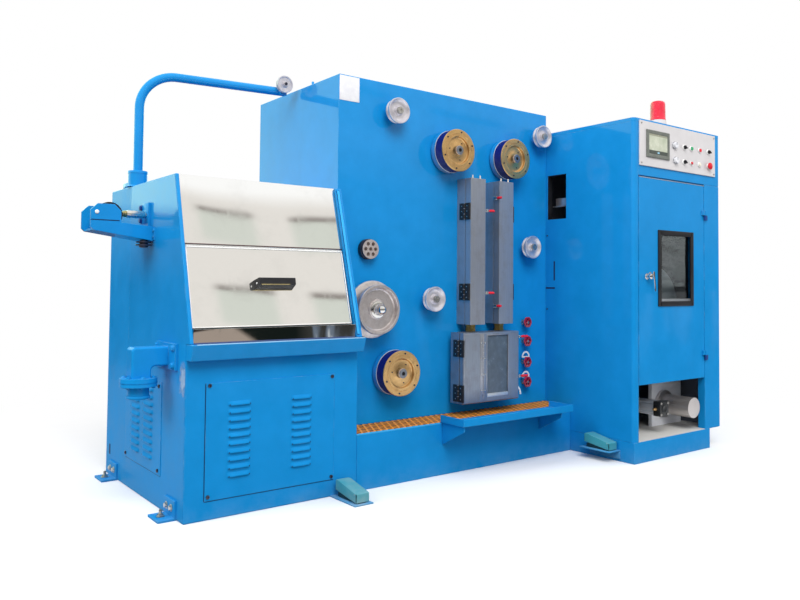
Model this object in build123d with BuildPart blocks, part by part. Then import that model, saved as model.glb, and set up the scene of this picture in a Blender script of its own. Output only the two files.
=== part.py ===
from build123d import *
import os
from math import atan2, cos, sin, tan

os.makedirs("parts", exist_ok=True)

# Driving dimensions in millimetres.
# X runs along the line from the drawing unit to the take-up, Y runs to the back, Z is up.
# The origin is the centre of the line base's underside, on the floor.

# Line base
BASE_DEPTH = 1025.0
BASE_HEIGHT = 250.0
GRATING_THICKNESS = 8.0

# Drawing unit
DRAW_WIDTH = 775.0
SILL_TOP = 684.0
SILL_HEIGHT = 64.0
SILL_REACH = 70.0
SILL_FOOT_REACH = 48.0
HOOD_TOP = 1359.0
HOOD_ROOF_THICKNESS = 10.0
SLOPE_FOOT_REACH = 38.0
SLOPE_TOP_SETBACK = 157.0
LEFT_END_THICKNESS = 15.0
RIGHT_END_THICKNESS = 30.0
ROOF_SEAM = 1.0
CHAMBER_DEPTH = 470.0

# Mirror cover on the slope, measured up the slope from its foot
COVER_THICKNESS = 15.0
COVER_RECESS = 18.0
SPLASH_STRIP_TOP = 61.0
COVER_SEAM = 404.0
COVER_PIN_RADIUS = 2.5
COVER_BARREL_RADIUS = 4.0
COVER_BARREL_GAP = 1.5
HANDLE_LENGTH = 178.0
HANDLE_HEIGHT = 58.0
HANDLE_PROUD = 50.0
HANDLE_UP_SLOPE = 238.0
HANDLE_CHAMFER = 6.0

# Stepped drawing cones inside the chamber
CONE_SPACING = 360.0
CONE_HEIGHT = 1010.0
CONE_SMALL_RADIUS = 45.0
CONE_STEP = 14.0
CONE_STEP_WIDTH = 26.0
CONE_STEPS = 5

# Vent panels
VENT_THICKNESS = 3.0
FRONT_VENT_LEFT = 80.0
FRONT_VENT_WIDTH = 575.0
FRONT_VENT_FOOT = 74.0
FRONT_VENT_HEIGHT = 454.0
SIDE_VENT_FRONT = 258.0
SIDE_VENT_DEPTH = 466.0
SIDE_VENT_FOOT = 132.0
SIDE_VENT_HEIGHT = 380.0

# Floor anchor brackets
ANCHOR_FRONT = 128.0
ANCHOR_SPACING = 760.0
ANCHOR_WIDTH = 115.0
ANCHOR_REACH = 72.0
ANCHOR_HEIGHT = 75.0
ANCHOR_THICKNESS = 10.0
ANCHOR_HOLE_RADIUS = 9.0
ANCHOR_HOLE_REACH = 42.0

# Drain elbow on the left face
DRAIN_SETBACK = 200.0
DRAIN_HEIGHT = 627.0
DRAIN_REACH = 114.0
DRAIN_WIDTH = 76.0
DRAIN_CORNER = 16.0
DRAIN_EDGE = 9.0
DRAIN_PLATE_WIDTH = 230.0
DRAIN_PLATE_HEIGHT = 104.0
DRAIN_PLATE_THICKNESS = 12.0
DRAIN_FLANGE_RADIUS = 70.0
DRAIN_FLANGE_TOP = 545.0
DRAIN_FLANGE_THICKNESS = 34.0
DRAIN_STUB_RADIUS = 40.0
DRAIN_STUB_LENGTH = 48.0

# Inlet arm on the left face
ARM_SETBACK = 398.0
ARM_WIDTH = 150.0
ARM_CHEEK = 8.0
ARM_REACH = 255.0
ARM_ROOT_FOOT = 1094.0
ARM_ROOT_TOP = 1155.0
ARM_TIP_FOOT = 1130.0
ARM_SHOULDER_REACH = 135.0
ARM_SHOULDER_TOP = 1166.0
ARM_HEAD_TOP = 1240.0
ARM_HEAD_CHAMFER = 27.0
ARM_TIP_CHAMFER = 12.0
ARM_PLATE_THICKNESS = 12.0
ARM_PLATE_SETBACK = 44.0
ARM_PLATE_TOP = 1262.0
INLET_REACH = 165.0
INLET_HEIGHT = 1202.0
INLET_RADIUS = 52.0
INLET_WIDTH = 30.0
INLET_PIN_RADIUS = 8.0

# Guide arm over the drawing unit
MAST_SETBACK = 745.0
MAST_INSET = 34.0
MAST_RADIUS = 21.0
MAST_TOP = 1896.0
MAST_BEND = 165.0
MAST_SOCKET_RADIUS = 42.0
MAST_SOCKET_HEIGHT = 72.0
BOOM_END_INSET = 53.0
BOOM_END_SETBACK = 640.0
LUG_WIDTH = 36.0
LUG_THICKNESS = 14.0
LUG_RISE = 46.0
ARM_PULLEY_RISE = 30.0

# Annealer housing
ANNEALER_WIDTH = 1408.0
PLATE_SETBACK = 189.0
ANNEALER_TOP = 1909.0

# Wheels on the annealer plate, measured from the housing's left edge
WHEEL_RUN = 0.05
WHEEL_END_GAP = 0.4
AXLE_CAP_THICKNESS = 7.0
AXLE_SHOULDER = 7.0
GUIDE_RADIUS = 63.0
GUIDE_WIDTH = 38.0
GUIDE_STAND = 36.0
GUIDE_BORE = 12.0
GUIDE_GROOVE = 12.0
GUIDE_WEB = 7.0
CONTACT_RADIUS = 109.0
CONTACT_WIDTH = 94.0
CONTACT_STAND = 8.0
CONTACT_BORE = 20.0
CONTACT_GROOVE = 6.0
CONTACT_WEB = 12.0
CAPSTAN_RADIUS = 136.0
CAPSTAN_WIDTH = 74.0
CAPSTAN_STAND = 36.0
CAPSTAN_BORE = 24.0
CAPSTAN_GROOVE = 34.0
CAPSTAN_FRONT_STEP = 19.0
CAPSTAN_WEB = 12.0
ARM_PULLEY_RADIUS = 43.0
ARM_PULLEY_WIDTH = 18.0
ARM_PULLEY_BORE = 8.0
ARM_PULLEY_GROOVE = 9.0
ARM_PULLEY_WEB = 3.5
UPPER_GUIDE_XS = [300.0, 1315.0]
UPPER_GUIDE_DROP = 145.0
LOWER_GUIDE_PLACES = [(535.0, 844.0), (1230.0, 1130.0)]
UPPER_CONTACT_XS = [655.0, 1062.0]
UPPER_CONTACT_GAP = 25.0
LOWER_CONTACT_PLACE = (309.0, 491.0)
CAPSTAN_PLACE = (170.0, 798.0)
OUTLET_PLACE = (161.0, 1084.0)
OUTLET_RADIUS = 46.0
OUTLET_LENGTH = 42.0
OUTLET_HOLE_RADIUS = 9.0
OUTLET_HOLE_CIRCLE = 28.0
OUTLET_HOLE_COUNT = 6
OUTLET_HOLE_DEPTH = 24.0

# Annealing tubes and the box below them
TUBE_WIDTH = 103.0
LEFT_TUBE_X = 732.0
TUBE_PITCH = 202.0
TUBE_STAND = 39.0
TUBE_HEIGHT = 761.0
TUBE_FRONT = 80.0
TUBE_SPLIT = 122.0
LID_GAP = 5.0
FITTING_RADIUS = 12.0
BOX_LEFT = 666.0
BOX_WIDTH = 390.0
BOX_STAND = 54.0
BOX_HEIGHT = 360.0
BOX_FRONT = 50.0
BOX_SPLIT = 86.0
BOX_BACK_GAP = 34.0
BOX_BACK_INSET = 60.0
BOX_EDGE = 10.0
BOX_WINDOW_LEFT = 156.0
BOX_WINDOW_WIDTH = 152.0
BOX_WINDOW_FOOT = 26.0
BOX_WINDOW_HEIGHT = 318.0
BOX_WINDOW_DEPTH = 9.0
HINGE_PIN_RADIUS = 4.0
HINGE_KNUCKLE_RADIUS = 7.0
HINGE_HEIGHT = 84.0
HINGE_LEAF_DEPTH = 36.0
HINGE_LEAF_THICKNESS = 8.0
KNUCKLE_END_GAP = 0.4
TUBE_HINGE_HEIGHTS = [169.0, 588.0]
BOX_HINGE_HEIGHTS = [54.0, 281.0]

# Valve handwheels on the annealer plate
VALVE_X = 1221.0
VALVE_HEIGHTS = [709.0, 604.0, 487.0, 377.0]
VALVE_STAND = 30.0
VALVE_RIM_RADIUS = 31.0
VALVE_RIM_THICKNESS = 9.0
VALVE_STEM_RADIUS = 6.0
VALVE_HUB_RADIUS = 11.0
VALVE_HUB_LENGTH = 13.0
VALVE_HOLES = 5
VALVE_HOLE_RADIUS = 5.5
VALVE_HOLE_CIRCLE = 20.0
VALVE_SEAT_GAP = 0.3

# Shelf on the base front
SHELF_LEFT = 475.0
SHELF_LENGTH = 760.0
SHELF_REACH = 175.0
SHELF_FLOOR = 254.0
SHELF_SHEET = 4.0
SHELF_LIP = 36.0
SHELF_BRACKET_INSET = 12.0
SHELF_BRACKET_END_INSET = 80.0
SHELF_BRACKET_FOOT = 144.0
SHELF_BRACKET_NOSE = 228.0
SHELF_BRACKET_REACH = 163.0
SHELF_BRACKET_SHEET = 6.0

# Take-up cabinet
TAKEUP_WIDTH = 795.0
TAKEUP_TOP = 1800.0
TAKEUP_REACH = 434.0
TAKEUP_CHAMBER_BACK = 350.0
TAKEUP_LEFT_WALL = 35.0
TAKEUP_RIGHT_WALL = 20.0
TAKEUP_ROOF = 20.0
TAKEUP_FRONT_DEPTH = 45.0
TAKEUP_CORNER = 22.0
POST_WIDTH = 150.0
HEADER_FOOT = 1500.0
PLINTH_HEIGHT = 109.0
PLINTH_WIDTH = 694.0
WIRE_ENTRY_FRONT = 34.0
WIRE_ENTRY_DEPTH = 140.0
WIRE_ENTRY_FOOT = 1297.0
WIRE_ENTRY_HEIGHT = 255.0

# Take-up door
DOOR_GAP = 5.0
DOOR_FOOT = 402.0
DOOR_THICKNESS = 25.0
DOOR_PIN_RADIUS = 4.0
DOOR_KNUCKLE_RADIUS = 7.0
DOOR_KNUCKLE_HEIGHT = 54.0
DOOR_HINGE_HEIGHTS = [528.0, 1322.0]
DOOR_LEAF_WIDTH = 22.0
DOOR_LEAF_THICKNESS = 3.0
WINDOW_LEFT = 182.0
WINDOW_WIDTH = 300.0
WINDOW_FOOT = 822.0
WINDOW_HEIGHT = 384.0
GLASS_THICKNESS = 6.0
LOCK_X = 72.0
LOCK_HEIGHT = 968.0
LOCK_RADIUS = 17.0
LOCK_LENGTH = 34.0
LEVER_LENGTH = 104.0
LEVER_WIDTH = 14.0
LEVER_THICKNESS = 9.0

# Operator panel and beacon
PANEL_LEFT = 40.0
PANEL_WIDTH = 709.0
PANEL_FOOT = 1552.0
PANEL_HEIGHT = 238.0
PANEL_THICKNESS = 8.0
SCREEN_LEFT = 102.0
SCREEN_WIDTH = 205.0
SCREEN_FOOT = 1600.0
SCREEN_HEIGHT = 147.0
SCREEN_THICKNESS = 7.0
BUTTON_RADIUS = 15.0
BUTTON_LENGTH = 22.0
BUTTON_ROWS = [1693.0, 1611.0]
BUTTON_FIRST = 366.0
BUTTON_PITCH = 83.0
BUTTON_COUNT = 5
BEACON_X = 275.0
BEACON_INSET = 48.0
BEACON_BASE_RADIUS = 38.0
BEACON_BASE_HEIGHT = 18.0
BEACON_RADIUS = 43.0
BEACON_HEIGHT = 98.0
BEACON_DOME = 20.0

# Spool and what shows through the lower opening
SPOOL_X = 400.0
SPOOL_HEIGHT = 790.0
SPOOL_FRONT = -250.0
SPOOL_LENGTH = 300.0
SPOOL_FLANGE_RADIUS = 250.0
SPOOL_FLANGE_THICKNESS = 24.0
SPOOL_BARREL_RADIUS = 140.0
SPINDLE_RADIUS = 30.0
SPINDLE_SHOULDER_RADIUS = 48.0
SPINDLE_CAP_RADIUS = 52.0
SPINDLE_CAP_LENGTH = 30.0
SUPPORT_LEFT = 452.0
SUPPORT_WIDTH = 285.0
SUPPORT_FRONT = -215.0
SUPPORT_THICKNESS = 25.0
SUPPORT_HEIGHT = 330.0
TRAVERSE_X = 557.0
TRAVERSE_HEIGHT = 236.0
TRAVERSE_RADIUS = 57.0
TRAVERSE_LENGTH = 205.0
TRAVERSE_COLLAR_RADIUS = 78.0
TRAVERSE_COLLAR_LENGTH = 18.0
CYLINDER_X = 307.0
CYLINDER_HEIGHT = 252.0
CYLINDER_FRONT = -400.0
CYLINDER_CAP = 80.0
CYLINDER_CAP_LENGTH = 44.0
CYLINDER_RADIUS = 35.0

# Foot pedals
PEDAL_WIDTH = 92.0
PEDAL_LENGTH = 200.0
PEDAL_PLATE = 6.0
PEDAL_BODY_WIDTH = 78.0
PEDAL_BODY_LENGTH = 168.0
PEDAL_BODY_HEIGHT = 24.0
PEDAL_BODY_SETBACK = 16.0
PEDAL_PIVOT_RADIUS = 5.0
PEDAL_PIVOT_RISE = 14.0
PEDAL_EAR_THICKNESS = 8.0
PEDAL_EAR_GAP = 1.0
TREADLE_KNUCKLE_RADIUS = 9.0
TREADLE_LENGTH = 150.0
TREADLE_BACK_FOOT = 46.0
TREADLE_BACK_TOP = 74.0
FLOOR_PEDAL_INSET = 134.0
CABINET_PEDAL_SETBACK = -144.0
CABINET_PEDAL_HEIGHT = 54.0
CABINET_PEDAL_FLANGE = 40.0

# Places worked out from the driving dimensions
BASE_LENGTH = DRAW_WIDTH + ANNEALER_WIDTH
LEFT = -BASE_LENGTH / 2
RIGHT = BASE_LENGTH / 2
FRONT = -BASE_DEPTH / 2
BACK = BASE_DEPTH / 2
DRAW_RIGHT = LEFT + DRAW_WIDTH
PLATE_Y = FRONT + PLATE_SETBACK
TAKEUP_FRONT = FRONT - TAKEUP_REACH
TAKEUP_RIGHT = RIGHT + TAKEUP_WIDTH
CHAMBER_BACK = FRONT + TAKEUP_CHAMBER_BACK
POST_LEFT = TAKEUP_RIGHT - POST_WIDTH
BOX_FOOT = BASE_HEIGHT + GRATING_THICKNESS + BOX_STAND
BOX_TOP = BOX_FOOT + BOX_HEIGHT
TUBE_FOOT = BOX_TOP + TUBE_STAND
TUBE_TOP = TUBE_FOOT + TUBE_HEIGHT
UPPER_GUIDE_HEIGHT = ANNEALER_TOP - UPPER_GUIDE_DROP
UPPER_CONTACT_HEIGHT = TUBE_TOP + UPPER_CONTACT_GAP + CONTACT_RADIUS
GUIDE_PLACES = [(x, UPPER_GUIDE_HEIGHT) for x in UPPER_GUIDE_XS] + LOWER_GUIDE_PLACES
CONTACT_PLACES = [(x, UPPER_CONTACT_HEIGHT) for x in UPPER_CONTACT_XS] + [LOWER_CONTACT_PLACE]
SLOPE_RUN = SLOPE_FOOT_REACH + SLOPE_TOP_SETBACK
SLOPE_ANGLE = atan2(SLOPE_RUN, HOOD_TOP - SILL_TOP)
UPPER_COVER_TOP = (HOOD_TOP - SILL_TOP + COVER_RECESS * sin(SLOPE_ANGLE)) / cos(SLOPE_ANGLE)
COVER_BACK_RUN = (COVER_RECESS + COVER_THICKNESS) * cos(SLOPE_ANGLE)
ROOF_FRONT = FRONT - SLOPE_FOOT_REACH + UPPER_COVER_TOP * sin(SLOPE_ANGLE) + COVER_BACK_RUN + ROOF_SEAM
BOX_BACK_Y = PLATE_Y - BOX_BACK_GAP


def slab(low, high, mode=Mode.ADD):
    """A plain block between two opposite corners."""
    centre = [(a + b) / 2 for a, b in zip(low, high)]
    size = [b - a for a, b in zip(low, high)]
    with Locations(tuple(centre)):
        Box(*size, mode=mode)


def facing_front(x, y, z):
    """A plane at a point whose normal looks out of the machine's front."""
    return Plane(origin=(x, y, z), x_dir=(1, 0, 0), z_dir=(0, -1, 0))


def rod(x, y, z, radius, length, mode=Mode.ADD):
    """A round bar from a point straight towards the machine's front."""
    with BuildSketch(facing_front(x, y, z)) as end:
        Circle(radius)
    extrude(end.sketch, amount=length, mode=mode)


def turned(x, y, z, outline):
    """A turned piece whose axis runs to the front; the outline is radius and distance."""
    with BuildSketch(Plane(origin=(x, y, z), x_dir=(1, 0, 0), z_dir=(0, 0, -1))) as half:
        with BuildLine():
            Polyline(*outline, close=True)
        make_face()
    revolve(half.sketch, axis=Axis((x, y, z), (0, -1, 0)))


# Line base: two welded plate boxes side by side, with a walkway grating before the annealer
with BuildPart() as drawing_unit_base:
    slab((LEFT, FRONT, 0), (DRAW_RIGHT, BACK, SILL_TOP))
drawing_unit_base.part.label = "drawing_unit_base"
export_step(drawing_unit_base.part, "parts/drawing_unit_base.step")

with BuildPart() as annealer_base:
    slab((DRAW_RIGHT, FRONT, 0), (RIGHT, BACK, BASE_HEIGHT))
annealer_base.part.label = "annealer_base"
export_step(annealer_base.part, "parts/annealer_base.step")

with BuildPart() as floor_grating:
    slab((DRAW_RIGHT, FRONT, BASE_HEIGHT), (RIGHT, PLATE_Y, BASE_HEIGHT + GRATING_THICKNESS))
floor_grating.part.label = "floor_grating"
export_step(floor_grating.part, "parts/floor_grating.step")

with BuildPart() as annealer_housing:
    slab((DRAW_RIGHT, PLATE_Y, BASE_HEIGHT), (RIGHT, BACK, ANNEALER_TOP))
annealer_housing.part.label = "annealer_housing"
export_step(annealer_housing.part, "parts/annealer_housing.step")

# Drawing unit hood: two end plates with a sloped front, a roof strip and the closed drive housing
with BuildPart() as end_plates:
    for plate_x, thickness in ((LEFT, LEFT_END_THICKNESS), (DRAW_RIGHT, -RIGHT_END_THICKNESS)):
        with BuildSketch(Plane.YZ.offset(plate_x)):
            with BuildLine():
                Polyline(
                    (FRONT - SLOPE_FOOT_REACH, SILL_TOP),
                    (FRONT + SLOPE_TOP_SETBACK, HOOD_TOP),
                    (BACK, HOOD_TOP),
                    (BACK, SILL_TOP),
                    close=True,
                )
            make_face()
        extrude(amount=thickness)
end_plates.part.label = "end_plates"
export_step(end_plates.part, "parts/end_plates.step")

HOOD_LEFT = LEFT + LEFT_END_THICKNESS
HOOD_RIGHT = DRAW_RIGHT - RIGHT_END_THICKNESS
HOOD_MIDDLE = (HOOD_LEFT + HOOD_RIGHT) / 2
CHAMBER_WALL = FRONT + CHAMBER_DEPTH

with BuildPart() as drawing_rear_housing:
    slab((HOOD_LEFT, CHAMBER_WALL, SILL_TOP), (HOOD_RIGHT, BACK, HOOD_TOP))
drawing_rear_housing.part.label = "drawing_rear_housing"
export_step(drawing_rear_housing.part, "parts/drawing_rear_housing.step")

with BuildPart() as drawing_roof:
    slab((HOOD_LEFT, ROOF_FRONT, HOOD_TOP - HOOD_ROOF_THICKNESS), (HOOD_RIGHT, CHAMBER_WALL, HOOD_TOP))
drawing_roof.part.label = "drawing_roof"
export_step(drawing_roof.part, "parts/drawing_roof.step")

with BuildPart() as sill:
    with BuildSketch(Plane.YZ.offset(LEFT)):
        with BuildLine():
            Polyline(
                (FRONT, SILL_TOP),
                (FRONT, SILL_TOP - SILL_HEIGHT),
                (FRONT - SILL_FOOT_REACH, SILL_TOP - SILL_HEIGHT),
                (FRONT - SILL_REACH, SILL_TOP),
                close=True,
            )
        make_face()
    extrude(amount=DRAW_WIDTH)
sill.part.label = "sill"
export_step(sill.part, "parts/sill.step")

# Mirror cover: a fixed upper sheet and splash strip, and a lower leaf on a pin along the seam
cover_plane = Plane(
    origin=(HOOD_MIDDLE, FRONT - SLOPE_FOOT_REACH, SILL_TOP),
    x_dir=(1, 0, 0),
    z_dir=(0, -cos(SLOPE_ANGLE), sin(SLOPE_ANGLE)),
)
cover_face = cover_plane.offset(-COVER_RECESS)
COVER_WIDTH = HOOD_RIGHT - HOOD_LEFT
SPLASH_STRIP_FOOT = (COVER_THICKNESS + COVER_RECESS) * tan(SLOPE_ANGLE)


def cover_sheet(width, foot, top):
    """A folded sheet lying in the slope, its mirror face flush with the cover's face."""
    with BuildSketch(cover_face) as blank:
        with Locations((0, (foot + top) / 2)):
            Rectangle(width, top - foot)
    extrude(blank.sketch, amount=-COVER_THICKNESS)


def seam_bar(radius, length, mode=Mode.ADD):
    """A round bar along the cover's seam."""
    seam = cover_face.from_local_coords(Vector(0, COVER_SEAM, 0))
    with BuildSketch(Plane(origin=seam - Vector(length / 2, 0, 0), z_dir=(1, 0, 0))) as end:
        Circle(radius)
    extrude(end.sketch, amount=length, mode=mode)


with BuildPart() as fixed_cover_sheets:
    cover_sheet(COVER_WIDTH, COVER_SEAM + COVER_BARREL_RADIUS + COVER_BARREL_GAP, UPPER_COVER_TOP)
    cover_sheet(COVER_WIDTH, SPLASH_STRIP_FOOT, SPLASH_STRIP_TOP)
    seam_bar(COVER_PIN_RADIUS, COVER_WIDTH)
fixed_cover_sheets.part.label = "fixed_cover_sheets"
export_step(fixed_cover_sheets.part, "parts/fixed_cover_sheets.step")

LEAF_WIDTH = COVER_WIDTH - 2 * DOOR_GAP

with BuildPart() as lower_cover:
    cover_sheet(LEAF_WIDTH, SPLASH_STRIP_TOP + DOOR_GAP, COVER_SEAM - COVER_PIN_RADIUS)
    seam_bar(COVER_BARREL_RADIUS, LEAF_WIDTH)
    seam_bar(COVER_PIN_RADIUS + WHEEL_RUN, LEAF_WIDTH, mode=Mode.SUBTRACT)
lower_cover.part.label = "lower_cover"
export_step(lower_cover.part, "parts/lower_cover.step")

with BuildPart() as cover_handle:
    handle_end = cover_face.from_local_coords(Vector(-HANDLE_LENGTH / 2, HANDLE_UP_SLOPE, 0))
    with BuildSketch(Plane(origin=handle_end, x_dir=cover_face.y_dir, z_dir=(1, 0, 0))):
        with BuildLine():
            Polyline(
                (-HANDLE_HEIGHT / 2, 0),
                (HANDLE_HEIGHT / 2, 0),
                (HANDLE_HEIGHT / 2, HANDLE_PROUD),
                (0, HANDLE_PROUD),
                close=True,
            )
        make_face()
    extrude(amount=HANDLE_LENGTH)
    proud_face = cover_handle.faces().sort_by(Axis((0, 0, 0), cover_plane.z_dir))[-1]
    chamfer(proud_face.edges(), HANDLE_CHAMFER)
cover_handle.part.label = "cover_handle"
export_step(cover_handle.part, "parts/cover_handle.step")

# Stepped drawing cones on the chamber's back wall
with BuildPart() as drawing_cones:
    for cone_x in (HOOD_MIDDLE - CONE_SPACING / 2, HOOD_MIDDLE + CONE_SPACING / 2):
        for step in range(CONE_STEPS):
            cone_radius = CONE_SMALL_RADIUS + CONE_STEP * (CONE_STEPS - 1 - step)
            rod(cone_x, CHAMBER_WALL, CONE_HEIGHT, cone_radius, CONE_STEP_WIDTH * (step + 1))
drawing_cones.part.label = "drawing_cones"
export_step(drawing_cones.part, "parts/drawing_cones.step")

# Removable vent panels on the front and the left face of the drawing unit base
with BuildPart() as vent_panels:
    slab(
        (LEFT + FRONT_VENT_LEFT, FRONT - VENT_THICKNESS, FRONT_VENT_FOOT),
        (LEFT + FRONT_VENT_LEFT + FRONT_VENT_WIDTH, FRONT, FRONT_VENT_FOOT + FRONT_VENT_HEIGHT),
    )
    slab(
        (LEFT - VENT_THICKNESS, FRONT + SIDE_VENT_FRONT, SIDE_VENT_FOOT),
        (LEFT, FRONT + SIDE_VENT_FRONT + SIDE_VENT_DEPTH, SIDE_VENT_FOOT + SIDE_VENT_HEIGHT),
    )
vent_panels.part.label = "vent_panels"
export_step(vent_panels.part, "parts/vent_panels.step")

# Angle brackets that bolt the drawing unit to the floor
with BuildPart() as anchor_brackets:
    for bracket_y in (FRONT + ANCHOR_FRONT, FRONT + ANCHOR_FRONT + ANCHOR_SPACING):
        near = bracket_y - ANCHOR_WIDTH / 2
        far = bracket_y + ANCHOR_WIDTH / 2
        slab((LEFT - ANCHOR_THICKNESS, near, 0), (LEFT, far, ANCHOR_HEIGHT))
        slab((LEFT - ANCHOR_REACH, near, 0), (LEFT, far, ANCHOR_THICKNESS))
        with Locations((LEFT - ANCHOR_HOLE_REACH, bracket_y, ANCHOR_THICKNESS)):
            Hole(ANCHOR_HOLE_RADIUS, depth=ANCHOR_THICKNESS)
anchor_brackets.part.label = "anchor_brackets"
export_step(anchor_brackets.part, "parts/anchor_brackets.step")

# Cast drain elbow: wall plate, square bend, outlet flange and hose stub
DRAIN_Y = FRONT + DRAIN_SETBACK
DRAIN_X = LEFT - DRAIN_REACH
DRAIN_FLANGE_FOOT = DRAIN_FLANGE_TOP - DRAIN_FLANGE_THICKNESS
DRAIN_PLATE_FOOT = DRAIN_HEIGHT - DRAIN_PLATE_HEIGHT / 2
with BuildPart() as drain_elbow:
    with BuildSketch(facing_front(0, DRAIN_Y + DRAIN_WIDTH / 2, 0)):
        with BuildLine():
            FilletPolyline(
                (LEFT, DRAIN_HEIGHT + DRAIN_WIDTH / 2),
                (DRAIN_X - DRAIN_WIDTH / 2, DRAIN_HEIGHT + DRAIN_WIDTH / 2),
                (DRAIN_X - DRAIN_WIDTH / 2, DRAIN_FLANGE_FOOT),
                radius=DRAIN_CORNER,
            )
            Line(
                (DRAIN_X - DRAIN_WIDTH / 2, DRAIN_FLANGE_FOOT),
                (DRAIN_X + DRAIN_WIDTH / 2, DRAIN_FLANGE_FOOT),
            )
            FilletPolyline(
                (DRAIN_X + DRAIN_WIDTH / 2, DRAIN_FLANGE_FOOT),
                (DRAIN_X + DRAIN_WIDTH / 2, DRAIN_HEIGHT - DRAIN_WIDTH / 2),
                (LEFT, DRAIN_HEIGHT - DRAIN_WIDTH / 2),
                radius=DRAIN_CORNER,
            )
            Line((LEFT, DRAIN_HEIGHT - DRAIN_WIDTH / 2), (LEFT, DRAIN_HEIGHT + DRAIN_WIDTH / 2))
        make_face()
    extrude(amount=DRAIN_WIDTH)
    side_faces = drain_elbow.faces().filter_by(Axis.Y)
    fillet(side_faces.edges(), DRAIN_EDGE)
    slab(
        (LEFT - DRAIN_PLATE_THICKNESS, DRAIN_Y - DRAIN_PLATE_WIDTH / 2, DRAIN_PLATE_FOOT),
        (LEFT, DRAIN_Y + DRAIN_PLATE_WIDTH / 2, DRAIN_PLATE_FOOT + DRAIN_PLATE_HEIGHT),
    )
    with BuildSketch(Plane.XY.offset(DRAIN_FLANGE_FOOT)):
        with Locations((DRAIN_X, DRAIN_Y)):
            Circle(DRAIN_FLANGE_RADIUS)
    extrude(amount=DRAIN_FLANGE_THICKNESS)
    with BuildSketch(Plane.XY.offset(DRAIN_FLANGE_FOOT - DRAIN_STUB_LENGTH)):
        with Locations((DRAIN_X, DRAIN_Y)):
            Circle(DRAIN_STUB_RADIUS)
    extrude(amount=DRAIN_STUB_LENGTH)
drain_elbow.part.label = "drain_elbow"
export_step(drain_elbow.part, "parts/drain_elbow.step")

# Inlet arm: a trough of two plate cheeks on a floor plate, a wall plate and the pulley pin across it
ARM_FRONT = FRONT + ARM_SETBACK
ARM_BACK = ARM_FRONT + ARM_WIDTH
ARM_MIDDLE = (ARM_FRONT + ARM_BACK) / 2
ARM_TIP = LEFT - ARM_REACH
INLET_X = LEFT - INLET_REACH
cheek_outline = [
    (LEFT, ARM_ROOT_FOOT),
    (LEFT, ARM_ROOT_TOP),
    (LEFT - ARM_SHOULDER_REACH, ARM_SHOULDER_TOP),
    (LEFT - ARM_SHOULDER_REACH, ARM_HEAD_TOP - ARM_HEAD_CHAMFER),
    (LEFT - ARM_SHOULDER_REACH - ARM_HEAD_CHAMFER, ARM_HEAD_TOP),
    (ARM_TIP + ARM_HEAD_CHAMFER, ARM_HEAD_TOP),
    (ARM_TIP, ARM_HEAD_TOP - ARM_HEAD_CHAMFER),
    (ARM_TIP, ARM_TIP_FOOT + ARM_TIP_CHAMFER),
    (ARM_TIP + ARM_TIP_CHAMFER, ARM_TIP_FOOT),
]
floor_outline = [
    (LEFT, ARM_ROOT_FOOT),
    (LEFT, ARM_ROOT_FOOT + ARM_CHEEK),
    (ARM_TIP + ARM_TIP_CHAMFER, ARM_TIP_FOOT + ARM_CHEEK),
    (ARM_TIP + ARM_TIP_CHAMFER, ARM_TIP_FOOT),
]


def arm_plate(back_y, thickness, outline):
    """A plate of the arm, cut to an outline seen from the front."""
    with BuildSketch(facing_front(0, back_y, 0)) as blank:
        with BuildLine():
            Polyline(*outline, close=True)
        make_face()
    extrude(blank.sketch, amount=thickness)


with BuildPart() as inlet_arm:
    arm_plate(ARM_FRONT + ARM_CHEEK, ARM_CHEEK, cheek_outline)
    arm_plate(ARM_BACK, ARM_CHEEK, cheek_outline)
    arm_plate(ARM_BACK, ARM_WIDTH, floor_outline)
    slab(
        (LEFT - ARM_PLATE_THICKNESS, ARM_FRONT + ARM_PLATE_SETBACK, ARM_ROOT_FOOT),
        (LEFT, ARM_BACK, ARM_PLATE_TOP),
    )
    rod(INLET_X, ARM_BACK, INLET_HEIGHT, INLET_PIN_RADIUS, ARM_WIDTH)
inlet_arm.part.label = "inlet_arm"
export_step(inlet_arm.part, "parts/inlet_arm.step")

# Guide arm: a bent pipe in a roof socket, with a lug for its pulley at the far end
MAST_X = LEFT + MAST_INSET
MAST_Y = FRONT + MAST_SETBACK
BOOM_X = DRAW_RIGHT - BOOM_END_INSET
BOOM_Y = FRONT + BOOM_END_SETBACK
LUG_FRONT = BOOM_Y - MAST_RADIUS - LUG_THICKNESS / 2
with BuildPart() as guide_arm:
    with BuildLine() as mast_path:
        FilletPolyline(
            (MAST_X, MAST_Y, HOOD_TOP),
            (MAST_X, MAST_Y, MAST_TOP),
            (BOOM_X, BOOM_Y, MAST_TOP),
            radius=MAST_BEND,
        )
    with BuildSketch(Plane.XY.offset(HOOD_TOP)):
        with Locations((MAST_X, MAST_Y)):
            Circle(MAST_RADIUS)
    sweep(path=mast_path.line)
    with BuildSketch(Plane.XY.offset(HOOD_TOP)):
        with Locations((MAST_X, MAST_Y)):
            Circle(MAST_SOCKET_RADIUS)
    extrude(amount=MAST_SOCKET_HEIGHT)
    slab(
        (BOOM_X - LUG_WIDTH, LUG_FRONT, MAST_TOP - MAST_RADIUS),
        (BOOM_X, LUG_FRONT + LUG_THICKNESS, MAST_TOP + LUG_RISE),
    )
guide_arm.part.label = "guide_arm"
export_step(guide_arm.part, "parts/guide_arm.step")

# Wheels: each turns on a stub axle with a shoulder behind it and a cap in front


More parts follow.
